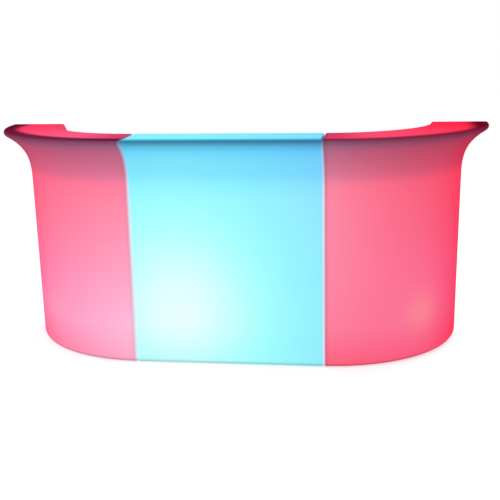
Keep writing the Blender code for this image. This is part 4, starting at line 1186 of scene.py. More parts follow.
def level_ring(sides, height, reach):
    """A level ring of points. The reach from the axis is a number, or a function of the angle."""
    found = []
    for side in range(sides):
        angle = math.tau * side / sides
        radius = reach(angle) if callable(reach) else reach
        found.append((radius * math.cos(angle), radius * math.sin(angle), height))
    return found


def screw_mesh(name, radius, height):
    """A pan head with a blind hexagon socket, facing +Z."""
    def hexagon(share):
        def reach(angle):
            return share * radius / math.cos((angle + math.pi / 6) % (math.pi / 3) - math.pi / 6)
        return reach

    rings = (
        (-height / 3, radius), (0.35 * height, radius), (0.70 * height, 0.92 * radius),
        (0.92 * height, 0.75 * radius), (height, 0.60 * radius), (height, hexagon(0.46)),
        (0.92 * height, hexagon(0.42)), (0.25 * height, hexagon(0.42)),
    )
    return lofted_mesh(name, [level_ring(SCREW_SIDES, z, reach) for z, reach in rings])


def metal_finish(name, colour, roughness, brush=(60.0, 60.0, 1400.0)):
    """Bare metal with fine working marks along one direction, and slightly stained."""
    finish, tree, surface = new_material(name)
    place = object_place(tree)
    drawn = add_node(tree, "ShaderNodeVectorMath", {0: place, 1: brush}, operation="MULTIPLY")
    marks, relief = grain(tree, drawn.outputs[0], 1.0, 0.12, 0.00008)
    stain = texture_range(tree, noise(tree, place, 60.0, 5.0), 0.82, 1.06)
    coat(tree, surface, {
        "Base Color": tinted(tree, colour, stain), "Metallic": 1.0, "Normal": relief,
        "Roughness": texture_range(tree, marks, roughness - 0.08, roughness + 0.14),
    })
    return finish


def rounded_profile(points, radius, steps=3):
    """An outline with the given corners rounded: (x, z, True) marks a corner to round."""
    found = []
    for number, (x, z, soft) in enumerate(points):
        if not soft:
            found.append((x, z))
            continue
        here = Vector((x, z))
        before = Vector(points[number - 1][:2]) - here
        after = Vector(points[(number + 1) % len(points)][:2]) - here
        start = here + before.normalized() * radius
        end = here + after.normalized() * radius
        for step in range(steps + 1):
            t = step / steps
            point = start * (1 - t) ** 2 + here * 2 * t * (1 - t) + end * t**2
            found.append((point.x, point.y))
    return found


def lid_profile():
    """The lid's turned outline: floor, collar, flange, and a shallow panel in the underside."""
    inner = BATTERY_WIDTH / math.sqrt(2) + CLEARANCE
    panel = FLANGE_LOW + LID_PANEL_DEPTH
    corners = (
        (0, LID_FLOOR, False), (inner, LID_FLOOR, False), (inner, FLANGE_TOP + LID_NECK, True),
        (LID_NECK_RADIUS, FLANGE_TOP + LID_NECK, True), (LID_NECK_RADIUS, FLANGE_TOP, False),
        (LID_RADIUS, FLANGE_TOP, True), (LID_RADIUS, FLANGE_LOW, True),
        (LID_PANEL_RADIUS + LID_PANEL_DEPTH, FLANGE_LOW, True), (LID_PANEL_RADIUS, panel, True),
        (0, panel, False),
    )
    return rounded_profile(corners, LID_CHAMFER / 2)


lid_finish = moulded_finish("lid_plastic", LID_GREY, 0.48)
steel_finish = metal_finish("bright_steel", STEEL, 0.30)
for name in MODULES:
    place = lamp_frame(name)
    mesh = turned_mesh(f"lid_{name}", lid_profile(), ROUND_SIDES)
    dress(f"lid_{name}", mesh, place, lid_finish, "counter", "lamp_lid", f"lamp_lid_{name}")
    mesh = copies_mesh(
        f"lid_screws_{name}", ring_tree, screw_mesh("lid_screw", SCREW_RADIUS, SCREW_HEIGHT),
        steel_finish, Count=LID_SCREWS, Radius=LID_SCREW_RING, Height=-FLANGE_LOW,
    )
    facing_down = place @ Matrix.Rotation(math.pi, 4, "X")
    dress(f"lid_screws_{name}", mesh, facing_down, steel_finish, "counter", "clamp_bolt")


# The lid seals: flat rings of black rubber, squeezed between flange and shell. Two fine lips run
# round each face, and talc from the mould greys the rubber a little.
SEAL_WIDTH = 0.008
SEAL_INSET = 0.001
SEAL_LIP = 0.0004
SEAL_LIPS = ((0.20, 0.32), (0.68, 0.80))
RUBBER_BLACK = linear(38, 38, 40)


def rubber_finish(name, colour):
    """Dull rubber with a pitted skin, powdery where the talc sits."""
    finish, tree, surface = new_material(name)
    place = object_place(tree)
    pits, relief = grain(tree, place, 1600.0, 0.5)
    dusty = smooth_step(tree, noise(tree, place, 140.0, 6.0), 0.52, 0.80)
    pale = tuple(0.6 * value + 0.06 for value in colour)
    coat(tree, surface, {
        "Base Color": mix_colours(tree, dusty, colour, pale), "Normal": relief,
        "Roughness": texture_range(tree, pits, 0.72, 0.95), "Specular IOR Level": 0.3,
    })
    return finish


def seal_profile():
    """The seal's section, which runs round the ring."""
    outer, top = LID_RADIUS - SEAL_INSET, RECESS_CEILING - CLEARANCE
    inner, low = outer - SEAL_WIDTH, top - SEAL_THICKNESS
    face = top - SEAL_LIP
    upper = [(inner, face)]
    for lip in SEAL_LIPS:
        start, end = (inner + SEAL_WIDTH * share for share in lip)
        upper += [(start - SEAL_LIP, face), (start, top), (end, top), (end + SEAL_LIP, face)]
    upper.append((outer, face))
    lower = [(radius, low + top - height) for radius, height in reversed(upper)]
    return upper + lower


seal_finish = rubber_finish("seal_rubber", RUBBER_BLACK)
for name in MODULES:
    mesh = turned_mesh(f"seal_{name}", seal_profile(), ROUND_SIDES)
    dress(
        f"seal_ring_{name}", mesh, lamp_frame(name), seal_finish, "counter", "rubber",
        f"lid_seal_{name}", smooth=25,
    )


# The battery packs: sealed boxes of dark plastic with rounded corners, which stand in the lid's
# collar. Three moulded grooves run round each box for grip.
BATTERY_HEIGHT = 0.110
BATTERY_EDGE = 0.004
BATTERY_EDGE_STEPS = 4
BATTERY_GROOVE = 0.0012
BATTERY_GROOVES = (0.35, 0.50, 0.65)
BATTERY_DARK = linear(62, 66, 72)


def battery_mesh(name):
    """The box as level rounded outlines: bottom edge, grooves, top edge."""
    low = LID_FLOOR + CLEARANCE
    edge = quarter_round(BATTERY_EDGE_STEPS)
    levels = [(BATTERY_EDGE * inset, BATTERY_EDGE * up) for inset, up in edge]
    rings = [(low + up, inset) for inset, up in levels]
    for share in BATTERY_GROOVES:
        z = low + share * BATTERY_HEIGHT
        for rise, inset in ((-2.0, 0.0), (-1.0, 1.0), (1.0, 1.0), (2.0, 0.0)):
            rings.append((z + rise * BATTERY_GROOVE, inset * BATTERY_GROOVE))
    rings += [(low + BATTERY_HEIGHT - up, inset) for inset, up in reversed(levels)]
    outlines = []
    for z, inset in rings:
        half = BATTERY_WIDTH / 2 - inset
        radius = max(BATTERY_EDGE - inset, BATTERY_EDGE / 8)
        outline = rounded_rectangle((-half, -half), (half, half), radius, BATTERY_EDGE_STEPS + 1)
        outlines.append([(x, y, z) for x, y in outline])
    return lofted_mesh(name, outlines)


battery_finish = moulded_finish("battery_plastic", BATTERY_DARK, 0.50, 1100.0)
for name in MODULES:
    dress(
        f"battery_{name}", battery_mesh(f"battery_{name}"), lamp_frame(name), battery_finish,
        "counter", "battery_pack", f"battery_pack_{name}", smooth=30,
    )


# The light boards: round printed boards with a white mask over copper rings, and eight light-
# emitting chips, each a square body with a yellowish phosphor lens.
BOARD_RADIUS = 0.052
BOARD_THICKNESS = 0.0016
BOARD_SIDES = 72
CHIP_COUNT = 8
CHIP_SIZE = 0.006
CHIP_PROUD = 0.0015
CHIP_RING_RADIUS = 0.036
TRACK_PITCH = 0.0045
BOARD_SEAT = LID_FLOOR + BATTERY_HEIGHT + 2 * CLEARANCE
BOARD_TOP = BOARD_SEAT + BOARD_THICKNESS
MASK_WHITE = linear(240, 241, 236)
MASK_OVER_COPPER = linear(214, 221, 205)
PHOSPHOR = linear(255, 226, 120)


def board_finish(name):
    """White solder mask, slightly greenish and raised where a copper ring runs under it."""
    finish, tree, surface = new_material(f"solder_mask_{name}")
    place = object_place(tree)
    radius = distance_from(tree, place, lamp_frame(name).translation, 0.0)
    wave = math_node(tree, "SINE", math_node(tree, "MULTIPLY", radius, math.tau / TRACK_PITCH))
    track = smooth_step(tree, wave, -0.2, 0.2)
    skin = noise(tree, place, 700.0, 3.0)
    height = math_node(tree, "MULTIPLY_ADD", track, 2.0, skin)
    coat(tree, surface, {
        "Base Color": mix_colours(tree, track, MASK_WHITE, MASK_OVER_COPPER),
        "Roughness": texture_range(tree, skin, 0.24, 0.40),
        "Normal": bump(tree, height, 0.3, 0.0001),
    })
    return finish


def phosphor_finish():
    """The chips' lenses: translucent, grainy yellow phosphor that gives light."""
    finish, tree, surface = new_material("phosphor")
    grains, relief = grain(tree, object_place(tree), 2400.0, 0.4, 0.0001)
    colour = tinted(tree, PHOSPHOR, texture_range(tree, grains, 0.75, 1.1))
    coat(tree, surface, {
        "Base Color": colour, "Roughness": 0.3, "Normal": relief, "Emission Color": colour,
        "Emission Strength": 0.6,
    })
    return finish


def chip_mesh():
    """A chip: square body, sunk a little into the board, with a round lens on top."""
    half, top = CHIP_SIZE / 2, CHIP_PROUD
    levels = (
        (-BOARD_THICKNESS / 2, 1.00, 0.08), (0.50 * top, 1.00, 0.08), (0.56 * top, 0.95, 0.08),
        (0.56 * top, 0.78, 0.78), (0.84 * top, 0.62, 0.62), (top, 0.30, 0.30),
    )
    rings = []
    for z, width, roundness in levels:
        reach = width * half
        outline = rounded_rectangle((-reach, -reach), (reach, reach), roundness * half, 3)
        rings.append([(x, y, z) for x, y in outline])
    return lofted_mesh("chip", rings)


lens_finish = phosphor_finish()
for name in MODULES:
    edge = BOARD_THICKNESS / 4
    profile = [
        (0, BOARD_SEAT), (BOARD_RADIUS - edge, BOARD_SEAT), (BOARD_RADIUS, BOARD_SEAT + edge),
        (BOARD_RADIUS, BOARD_TOP - edge), (BOARD_RADIUS - edge, BOARD_TOP), (0, BOARD_TOP),
    ]
    place = lamp_frame(name)
    dress(
        f"light_board_{name}", turned_mesh(f"light_board_{name}", profile, BOARD_SIDES), place,
        board_finish(name), "counter", "led_board", f"led_board_{name}",
    )
    mesh = copies_mesh(
        f"light_chips_{name}", ring_tree, chip_mesh(), lens_finish, Count=CHIP_COUNT,
        Radius=CHIP_RING_RADIUS, Height=BOARD_TOP,
    )
    half_turned = place @ Matrix.Rotation(math.pi / CHIP_COUNT, 4, "Z")
    dress(f"light_chips_{name}", mesh, half_turned, lens_finish, "counter", "led_board")


# The domes: blown covers of frosted polycarbonate over the light boards. They spread the light, so
# they glow brightest at the crown.
DOME_HEIGHT = 0.046
DOME_RIM = 0.008
DOME_WALL = 0.002
DOME_STEPS = 16
DOME_SEAT = BOARD_TOP + CLEARANCE
DOME_WHITE = linear(244, 244, 242)
GLOW_COLOURS = {
    "middle": linear(170, 240, 255), "left": linear(255, 128, 160), "right": linear(255, 110, 140),
}


def dome_profile():
    """The dome's outline from crown to rim outside, and back to the crown inside."""
    profile = []
    for inset, steps in ((0.0, range(DOME_STEPS + 1)), (DOME_WALL, range(DOME_STEPS, -1, -1))):
        curve = []
        for step in steps:
            angle = math.radians(90 - 90 * step / DOME_STEPS)
            radius = (BOARD_RADIUS - inset) * math.cos(angle) if step else 0
            rise = (DOME_HEIGHT - DOME_RIM - inset) * math.sin(angle)
            curve.append((radius, DOME_SEAT + DOME_RIM + rise))
        rim = [(BOARD_RADIUS - inset, DOME_SEAT)]
        profile += curve + rim if inset == 0 else rim + curve
    return profile


def frosted_finish(name):
    """Frosted polycarbonate, lit from within."""
    finish, tree, surface = new_material(f"frosted_{name}")
    place = object_place(tree)
    frost, relief = grain(tree, place, 1300.0, 0.5)
    height = add_node(tree, "ShaderNodeSeparateXYZ", {"Vector": place}).outputs["Z"]
    crown = smooth_step(tree, height, DOME_SEAT, DOME_SEAT + DOME_HEIGHT)
    crown = texture_range(tree, crown, 0.35, 0.85)
    glow = math_node(tree, "MULTIPLY", crown, texture_range(tree, frost, 0.9, 1.1))
    coat(tree, surface, {
        "Base Color": (*DOME_WHITE, 1), "Roughness": texture_range(tree, frost, 0.45, 0.65),
        "Transmission Weight": 0.35, "Normal": relief, "Emission Color": (*GLOW_COLOURS[name], 1),
        "Emission Strength": glow,
    })
    return finish


for name in MODULES:
    dress(
        f"dome_{name}", turned_mesh(f"dome_{name}", dome_profile(), BOARD_SIDES), lamp_frame(name),
        frosted_finish(name), "counter", "lamp_dome", f"lamp_dome_{name}", smooth=50,
    )


# The control plates: charcoal plates in a recess of the rear foot, each moulded in one with the box
# behind it and the fixed half of the cap's hinge. Four steel screws hold the plate.
CONTROL_BOX_DEPTH = 0.026
CONTROL_SPACING = 0.036
CONTROL_SIDES = 56
PLATE_CORNER_STEPS = 5
BUTTON_RADIUS = 0.008
BUTTON_BORE_DEPTH = 0.010
SOCKET_RADIUS = 0.0068
SOCKET_LENGTH = 0.016
CAP_HINGE_RISE = 0.013
CAP_BARREL_LENGTH = 0.0105
HINGE_BAR_RADIUS = 0.001
HINGE_BAR_PROUD = 0.0029
HINGE_LUG_THICKNESS = 0.002
PLATE_SCREW_INSET = 0.006
PLATE_SCREW_RADIUS = 0.0022
PLATE_SCREW_HEIGHT = 0.0012
PLATE_GROOVE = 0.0004
PLATE_GROOVE_INSET = 0.0105
LIGHT_RING_INNER = 0.0090
LIGHT_RING_OUTER = 0.0098
LIGHT_RING_PROUD = 0.0004
LIGHT_RING_SIDES = 64
CHARCOAL = linear(66, 67, 70)
CONTROL_Z = PLATE_CENTRE_Z - CAP_HINGE_RISE / 3
HINGE_PLACE = (CONTROL_SPACING / 2, PLATE_FRONT + HINGE_BAR_PROUD, CONTROL_Z + CAP_HINGE_RISE)
FACING_OUT = Matrix.Rotation(math.radians(-90), 4, "X")


def upright_block(name, width, height, corner, levels):
    """A block behind the plate's front, lofted through rounded outlines given as (y, inset)."""
    rings = []
    for y, inset in levels:
        half_x, half_z = width / 2 - inset, height / 2 - inset
        outline = rounded_rectangle(
            (-half_x, PLATE_CENTRE_Z - half_z), (half_x, PLATE_CENTRE_Z + half_z),
            max(corner - inset, corner / 4), PLATE_CORNER_STEPS,
        )
        rings.append([(x, y, z) for x, z in outline])
    return lofted_mesh(name, rings)


def hinge_profile():
    """The hinge bar between its two lugs, along its own axis."""
    lug_out = CAP_BARREL_LENGTH / 2 + CLEARANCE
    lug_radius = HINGE_BAR_PROUD + PLATE_THICKNESS / 4
    edge = HINGE_LUG_THICKNESS / 6
    half = [
        (0, lug_out + HINGE_LUG_THICKNESS), (lug_radius - edge, lug_out + HINGE_LUG_THICKNESS),
        (lug_radius, lug_out + HINGE_LUG_THICKNESS - edge), (lug_radius, lug_out + edge),
        (lug_radius - edge, lug_out), (HINGE_BAR_RADIUS, lug_out),
    ]
    return half + [(radius, -z) for radius, z in reversed(half)]


def plate_mesh(name, finish):
    """Plate, box and hinge as one moulding, with the two bores cut."""
    edge, inset, groove, front = PLATE_THICKNESS / 4, PLATE_GROOVE_INSET, PLATE_GROOVE, PLATE_FRONT
    levels = (
        (PLATE_BACK, 0.0), (front - edge, 0.0), (front - edge / 3, edge / 4), (front, edge),
        (front, inset), (front - groove, inset + groove), (front - groove, inset + 2 * groove),
        (front, inset + 3 * groove),
    )
    plate = upright_block(name, PLATE_WIDTH, PLATE_HEIGHT, PLATE_CORNER, levels)
    plate.materials.append(finish)
    box_end, box_edge = PLATE_BACK - CONTROL_BOX_DEPTH, PLATE_THICKNESS / 2
    box = upright_block("box", CONTROL_BOX_WIDTH, CONTROL_BOX_HEIGHT, box_edge, (
        (box_end, box_edge), (box_end + 0.3 * box_edge, 0.3 * box_edge), (box_end + box_edge, 0.0),
        (PLATE_BACK + PLATE_THICKNESS / 2, 0.0),
    ))
    hinge = turned_mesh("hinge", hinge_profile(), 40)
    hinge.transform(Matrix.Translation(HINGE_PLACE) @ Matrix.Rotation(math.radians(90), 4, "Y"))
    bores = []
    for side, radius, depth in (
        (-1, BUTTON_RADIUS + CLEARANCE, BUTTON_BORE_DEPTH),
        (1, SOCKET_RADIUS + CLEARANCE, SOCKET_LENGTH + CLEARANCE),
    ):
        profile = [(0, -depth), (radius, -depth), (radius, PLATE_THICKNESS), (0, PLATE_THICKNESS)]
        bore = turned_mesh("bore", profile, CONTROL_SIDES)
        bore.transform(control_place(side))
        bores.append(bore)
    block = add_object(name, plate)
    joined = boolean_with(block, [box, hinge], "UNION")
    bored = boolean_with(block, bores)
    mesh = plain_mesh(name, block)
    clear_group(joined)
    clear_group(bored)
    return mesh


def control_place(side):
    """Where a control sits in the plate's front, facing out: the button at -1, the socket at 1."""
    return Matrix.Translation((side * CONTROL_SPACING / 2, PLATE_FRONT, CONTROL_Z)) @ FACING_OUT


def light_ring_finish(name):
    """The lit, milky ring round the button, faintly uneven as such light guides are."""
    finish, tree, surface = new_material(f"light_ring_{name}")
    uneven, relief = grain(tree, object_place(tree), 420.0, 0.2, 0.0001)
    coat(tree, surface, {
        "Base Color": (*DOME_WHITE, 1), "Roughness": 0.35, "Normal": relief,
        "Emission Color": (*GLOW_COLOURS[name], 1),
        "Emission Strength": texture_range(tree, uneven, 0.6, 0.9),
    })
    return finish


charcoal_finish = moulded_finish("charcoal_plastic", CHARCOAL, 0.46, 1500.0)
for name in MODULES:
    place = lamp_frame(name)
    dress(
        f"plate_{name}", plate_mesh(f"plate_{name}", charcoal_finish), place, charcoal_finish,
        "counter", "control_plate", f"control_plate_{name}", smooth=30,
    )
    mesh = copies_mesh(
        f"plate_screws_{name}", grid_tree,
        screw_mesh("plate_screw", PLATE_SCREW_RADIUS, PLATE_SCREW_HEIGHT), steel_finish,
        Width=PLATE_WIDTH - 2 * PLATE_SCREW_INSET, Depth=PLATE_HEIGHT - 2 * PLATE_SCREW_INSET,
    )
    middle = place @ Matrix.Translation((0, PLATE_FRONT, PLATE_CENTRE_Z)) @ FACING_OUT
    dress(f"plate_screws_{name}", mesh, middle, steel_finish, "counter", "clamp_bolt")
    inner, outer, proud = LIGHT_RING_INNER, LIGHT_RING_OUTER, LIGHT_RING_PROUD
    profile = [
        (inner, -proud), (inner, proud / 2), (inner + proud / 2, proud), (outer - proud / 2, proud),
        (outer, proud / 2), (outer, -proud),
    ]
    dress(
        f"light_ring_{name}", turned_mesh(f"light_ring_{name}", profile, LIGHT_RING_SIDES),
        place @ control_place(-1), light_ring_finish(name), "counter", "control_plate",
    )


# The power buttons: turned, satin metal push buttons with a dished top, each in its bore in the
# plate.
BUTTON_LENGTH = 0.0085
BUTTON_PROUD = 0.0025
BUTTON_DISH = 0.0007
BUTTON_EDGE = 0.15
SATIN = linear(206, 207, 209)

button_finish = metal_finish("satin_metal", SATIN, 0.28, (900.0, 60.0, 900.0))
button_low = BUTTON_PROUD - BUTTON_LENGTH
button_edge = BUTTON_EDGE * BUTTON_RADIUS
edge_centre = (BUTTON_RADIUS - button_edge, BUTTON_PROUD - button_edge)
button_profile = [
    (radius * BUTTON_RADIUS, BUTTON_PROUD - dish * BUTTON_DISH)
    for radius, dish in ((0.00, 1.0), (0.30, 0.9), (0.60, 0.5), (0.78, 0.0))
]
button_profile += [point for point, _ in arc(edge_centre, button_edge, 90, 0, 4)]
button_profile += [(BUTTON_RADIUS, button_low), (0, button_low)]
for name in MODULES:
    mesh = turned_mesh(f"button_{name}", button_profile, CONTROL_SIDES)
    dress(
        f"button_{name}", mesh, lamp_frame(name) @ control_place(-1), button_finish,
        f"power_button_{name}", "power_button", f"power_button_{name}", smooth=40,
    )


# The charging sockets: nickel-plated sleeves with a thin flange and a centre pin at the bore's
# foot.
SOCKET_BORE_RADIUS = 0.004
SOCKET_BORE_DEPTH = 0.013
SOCKET_FLANGE_RADIUS = 0.0085
SOCKET_FLANGE_THICKNESS = 0.001
PIN_RADIUS = 0.0009
PIN_HEIGHT = 0.0085
NICKEL = linear(196, 190, 176)

nickel_finish = metal_finish("nickel", NICKEL, 0.20, (1100.0, 80.0, 1100.0))
flange = CLEARANCE + SOCKET_FLANGE_THICKNESS
bore_foot = flange - SOCKET_BORE_DEPTH
edge = SOCKET_FLANGE_THICKNESS / 3
socket_profile = [
    (0, -SOCKET_LENGTH), (SOCKET_RADIUS - edge, -SOCKET_LENGTH),
    (SOCKET_RADIUS, edge - SOCKET_LENGTH), (SOCKET_RADIUS, CLEARANCE),
    (SOCKET_FLANGE_RADIUS, CLEARANCE),
    (SOCKET_FLANGE_RADIUS, flange - edge), (SOCKET_FLANGE_RADIUS - edge, flange),
    (SOCKET_BORE_RADIUS + edge, flange), (SOCKET_BORE_RADIUS, flange - edge),
    (SOCKET_BORE_RADIUS, bore_foot), (PIN_RADIUS, bore_foot),
    (PIN_RADIUS, bore_foot + 0.94 * PIN_HEIGHT), (0.6 * PIN_RADIUS, bore_foot + PIN_HEIGHT),
    (0, bore_foot + PIN_HEIGHT),
]
for name in MODULES:
    mesh = turned_mesh(f"socket_{name}", socket_profile, CONTROL_SIDES)
    dress(
        f"socket_{name}", mesh, lamp_frame(name) @ control_place(1), nickel_finish, "counter",
        "charge_socket", f"charge_socket_{name}",
    )


# The socket caps: soft rubber caps against rain. Each has a round lid with a short plug behind it
# and an ear that runs up to a barrel, which snaps over the plate's hinge bar.
CAP_RADIUS = 0.0095
CAP_THICKNESS = 0.002
CAP_PLUG_RADIUS = 0.0030
CAP_PLUG_LENGTH = 0.0018
CAP_BARREL_RADIUS = 0.0023
CAP_DIMPLE = 0.0004
CAP_SIDES = 64
CAP_BLACK = linear(48, 48, 51)


def cap_mesh(name, finish):
    """Lid, ear, barrel and plug as one moulding, about the hinge's axis."""
    back = 2 * CLEARANCE + SOCKET_FLANGE_THICKNESS - HINGE_BAR_PROUD
    bore, half, edge = HINGE_BAR_RADIUS + CLEARANCE, CAP_BARREL_LENGTH / 2, CAP_THICKNESS / 4
    over_socket = Matrix.Translation((0, back, -CAP_HINGE_RISE)) @ FACING_OUT
    wide, top = CAP_RADIUS, CAP_THICKNESS
    lid = turned_mesh(name, [
        (0, 0), (wide - edge, 0), (wide, edge), (wide, top - 1.5 * edge),
        (wide - edge / 2, top - edge / 2), (wide - 1.5 * edge, top), (0.62 * wide, top),
        (0.50 * wide, top - CAP_DIMPLE), (0, top - CAP_DIMPLE),
    ], CAP_SIDES)
    lid.transform(over_socket)
    lid.materials.append(finish)
    plug = turned_mesh("plug", [
        (0, top / 2), (CAP_PLUG_RADIUS, top / 2), (CAP_PLUG_RADIUS, edge - CAP_PLUG_LENGTH),
        (CAP_PLUG_RADIUS - edge, -CAP_PLUG_LENGTH), (0, -CAP_PLUG_LENGTH),
    ], CAP_SIDES // 2)
    plug.transform(over_socket)
    barrel = turned_mesh("barrel", rounded_profile((
        (bore, half, False), (CAP_BARREL_RADIUS, half, True), (CAP_BARREL_RADIUS, -half, True),
        (bore, -half, False),
    ), edge), 40)
    barrel.transform(Matrix.Rotation(math.radians(90), 4, "Y"))
    outline = rounded_rectangle(
        (-half, CAP_RADIUS / 2 - CAP_HINGE_RISE), (half, -bore - CLEARANCE), edge, 3
    )
    ear = lofted_mesh("ear", [[(x, y, z) for x, z in outline] for y in (back, back + top)])
    block = add_object(name, lid)
    joined = boolean_with(block, [plug, ear, barrel], "UNION")
    mesh = plain_mesh(name, block)
    clear_group(joined)
    return mesh


cap_finish = rubber_finish("cap_rubber", CAP_BLACK)
for name in MODULES:
    dress(
        f"cap_{name}", cap_mesh(f"cap_{name}", cap_finish),
        lamp_frame(name) @ Matrix.Translation(HINGE_PLACE), cap_finish, f"socket_cap_{name}",
        "rubber", f"socket_cap_{name}", smooth=30,
    )


# The lamp leads: soft black low-voltage leads inside the shells. Each runs from the control box
# along the shell's floor and over the lid's recess to the battery, with a ribbed sleeve at both
# ends.
LEAD_RADIUS = 0.003
LEAD_SWAY = 0.012
LEAD_POINTS = 40
LEAD_ROUND_STEPS = 5
SLEEVE_LENGTH = 0.006
SLEEVE_RADIUS = 0.0045
SLEEVE_END_RADIUS = 0.00324
SLEEVE_RIBS = (0.2, 0.4, 0.6)
SLEEVE_SIDES = 32
LEAD_BLACK = linear(34, 34, 36)


def smooth_route(points, count):
    """Evenly shared points on a smooth curve through the given ones."""
    ends = [points[0] * 2 - points[1]] + points + [points[-1] * 2 - points[-2]]
    spans = len(points) - 1
    found = []
    for number in range(count):
        place = number * spans / (count - 1)
        span = min(int(place), spans - 1)
        t = place - span
        a, b, c, d = ends[span : span + 4]
        bend = (2 * a - 5 * b + 4 * c - d) * t**2 + (3 * b - a - 3 * c + d) * t**3
        found.append(0.5 * (2 * b + (c - a) * t + bend))
    return found


def lead_route():
    """The lead's centre line under the lamp's frame, from the control box to the battery."""
    start = PLATE_BACK - CONTROL_BOX_DEPTH - CLEARANCE
    end = BATTERY_WIDTH / 2 + CLEARANCE
    low = FLOOR_GAP + WALL + 1.5 * LEAD_RADIUS + CLEARANCE
    over = RECESS_CEILING + WALL + LEAD_RADIUS + 2 * CLEARANCE
    plug_z = LID_FLOOR + LID_NECK + 5 * LEAD_RADIUS
    rim = LID_RECESS_RADIUS + WALL
    straight = 2 * LEAD_RADIUS
    route = [
        Vector((0, start - straight, PLATE_CENTRE_Z)),
        Vector((LEAD_SWAY / 3, (2 * start + rim) / 3, low + 2 * LEAD_RADIUS)),
        Vector((LEAD_SWAY, (start + 2 * rim) / 3, low)),
        Vector((LEAD_SWAY, rim + 8 * LEAD_RADIUS, low + LEAD_RADIUS / 2)),
        Vector((LEAD_SWAY / 2, rim, over + LEAD_RADIUS)),
        Vector((0, end + 2 * straight, plug_z - LEAD_RADIUS)),
        Vector((0, end + straight, plug_z)),
    ]
    first, last = Vector((0, start, PLATE_CENTRE_Z)), Vector((0, end, plug_z))
    return [first, *smooth_route(route, LEAD_POINTS), last]


def sleeve_mesh(name):
    """A tapered sleeve with three ribs, from its wide foot along +Z."""
    profile = [(0, 0), (SLEEVE_RADIUS, 0)]
    step = SLEEVE_LENGTH / 16
    for share in SLEEVE_RIBS:
        wide = SLEEVE_RADIUS + (LEAD_RADIUS - SLEEVE_RADIUS) * share
        z = share * SLEEVE_LENGTH
        profile += [(wide, z - step), (wide - step, z - step / 2)]
        profile += [(wide - step, z + step / 2), (wide, z + step)]
    profile += [(SLEEVE_END_RADIUS, SLEEVE_LENGTH), (0, SLEEVE_LENGTH)]
    return turned_mesh(name, profile, SLEEVE_SIDES)


lead_finish = rubber_finish("lead_jacket", LEAD_BLACK)
for name in MODULES:
    route = [lamp_frame(name) @ point for point in lead_route()]
    curve = bpy.data.curves.new(f"lead_{name}", "CURVE")
    curve.dimensions = "3D"
    curve.bevel_depth = LEAD_RADIUS
    curve.bevel_resolution = LEAD_ROUND_STEPS
    curve.use_fill_caps = True
    line = curve.splines.new("POLY")
    line.points.add(len(route) - 1)
    for target, point in zip(line.points, route):
        target.co = (*point, 1)
    line.use_smooth = True
    curve.materials.append(lead_finish)
    lead = add_object(f"lead_{name}", curve)
    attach(lead, "counter")
    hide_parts(f"lamp_lead_{name}")
    length = sum((two - one).length for one, two in zip(route, route[1:]))
    for end, (at, after) in (("box", route[:2]), ("battery", (route[-1], route[-2]))):
        sleeve = f"lead_sleeve_{name}_{end}"
        aim = (after - at).to_track_quat("Z", "Y").to_matrix().to_4x4()
        dress(
            sleeve, sleeve_mesh(sleeve), Matrix.Translation(at) @ aim, lead_finish, "counter",
            "lead", smooth=30,
        )
    tuple(route[0])


# The screw feet: black nylon feet with a ribbed grip, on threaded steel studs. A foot bears on its
# pocket's ceiling when it is screwed right in.
FOOT_SHOULDER_RADIUS = 0.011
FOOT_RIM_HEIGHT = 0.006
FOOT_RIB = 0.0005
FOOT_RIBS = 24
THREAD_PITCH = 0.0015
THREAD_DEPTH = 0.0009
THREAD_SIDES = 20
THREAD_SAME_POINT = 1e-7
NYLON_BLACK = linear(44, 44, 46)


def foot_mesh(name):
    """The foot as level rings, with ripples round the grip."""
    def ripple(radius):
        def reach(angle):
            return radius - FOOT_RIB / 2 + FOOT_RIB / 2 * math.cos(FOOT_RIBS * angle)
        return reach

    top, wide, grip = FOOT_HEIGHT, FOOT_RADIUS, ripple(FOOT_RADIUS)
    rings = (
        (0, 0.60 * wide), (0, 0.90 * wide), (0.05 * top, 0.955 * wide), (0.12 * top, 0.970 * wide),
        (0.15 * top, grip), (0.42 * top, grip), (FOOT_RIM_HEIGHT, 0.940 * wide),
        (0.58 * top, 0.80 * wide), (0.85 * top, 0.62 * wide), (0.95 * top, FOOT_SHOULDER_RADIUS),
        (top, 0.97 * FOOT_SHOULDER_RADIUS), (top, FOOT_STUD_RADIUS),
    )
    return lofted_mesh(name, [level_ring(4 * FOOT_RIBS, z, reach) for z, reach in rings])


def threaded_mesh(name, low, high, radius=FOOT_STUD_RADIUS):
    """A rod along +Z with a real helical thread, chamfered at both ends."""
    pattern = ((0.00, 0.0), (0.12, 0.0), (0.50, THREAD_DEPTH), (0.62, THREAD_DEPTH))
    turns = math.ceil((high - low) / THREAD_PITCH) + 1
    form = bmesh.new()
    columns = []
    for side in range(THREAD_SIDES):
        angle = math.tau * side / THREAD_SIDES
        column = []
        for turn in range(-1, turns + 1):
            for phase, crest in pattern:
                z = low + THREAD_PITCH * (turn + phase + side / THREAD_SIDES)
                z = min(max(z, low), high)
                reach = radius - THREAD_DEPTH + min(crest, z - low, high - z)
                column.append(form.verts.new((reach * math.cos(angle), reach * math.sin(angle), z)))
        columns.append(column)
    for side, one in enumerate(columns):
        two = columns[side + 1] if side + 1 < THREAD_SIDES else columns[0][len(pattern):]
        for row in range(len(two) - 1):
            form.faces.new((one[row], two[row], two[row + 1], one[row + 1]))
    form.faces.new([column[0] for column in columns])
    form.faces.new([column[-1] for column in columns])
    bmesh.ops.dissolve_degenerate(form, edges=form.edges, dist=THREAD_SAME_POINT)
    return mesh_of(form, name)


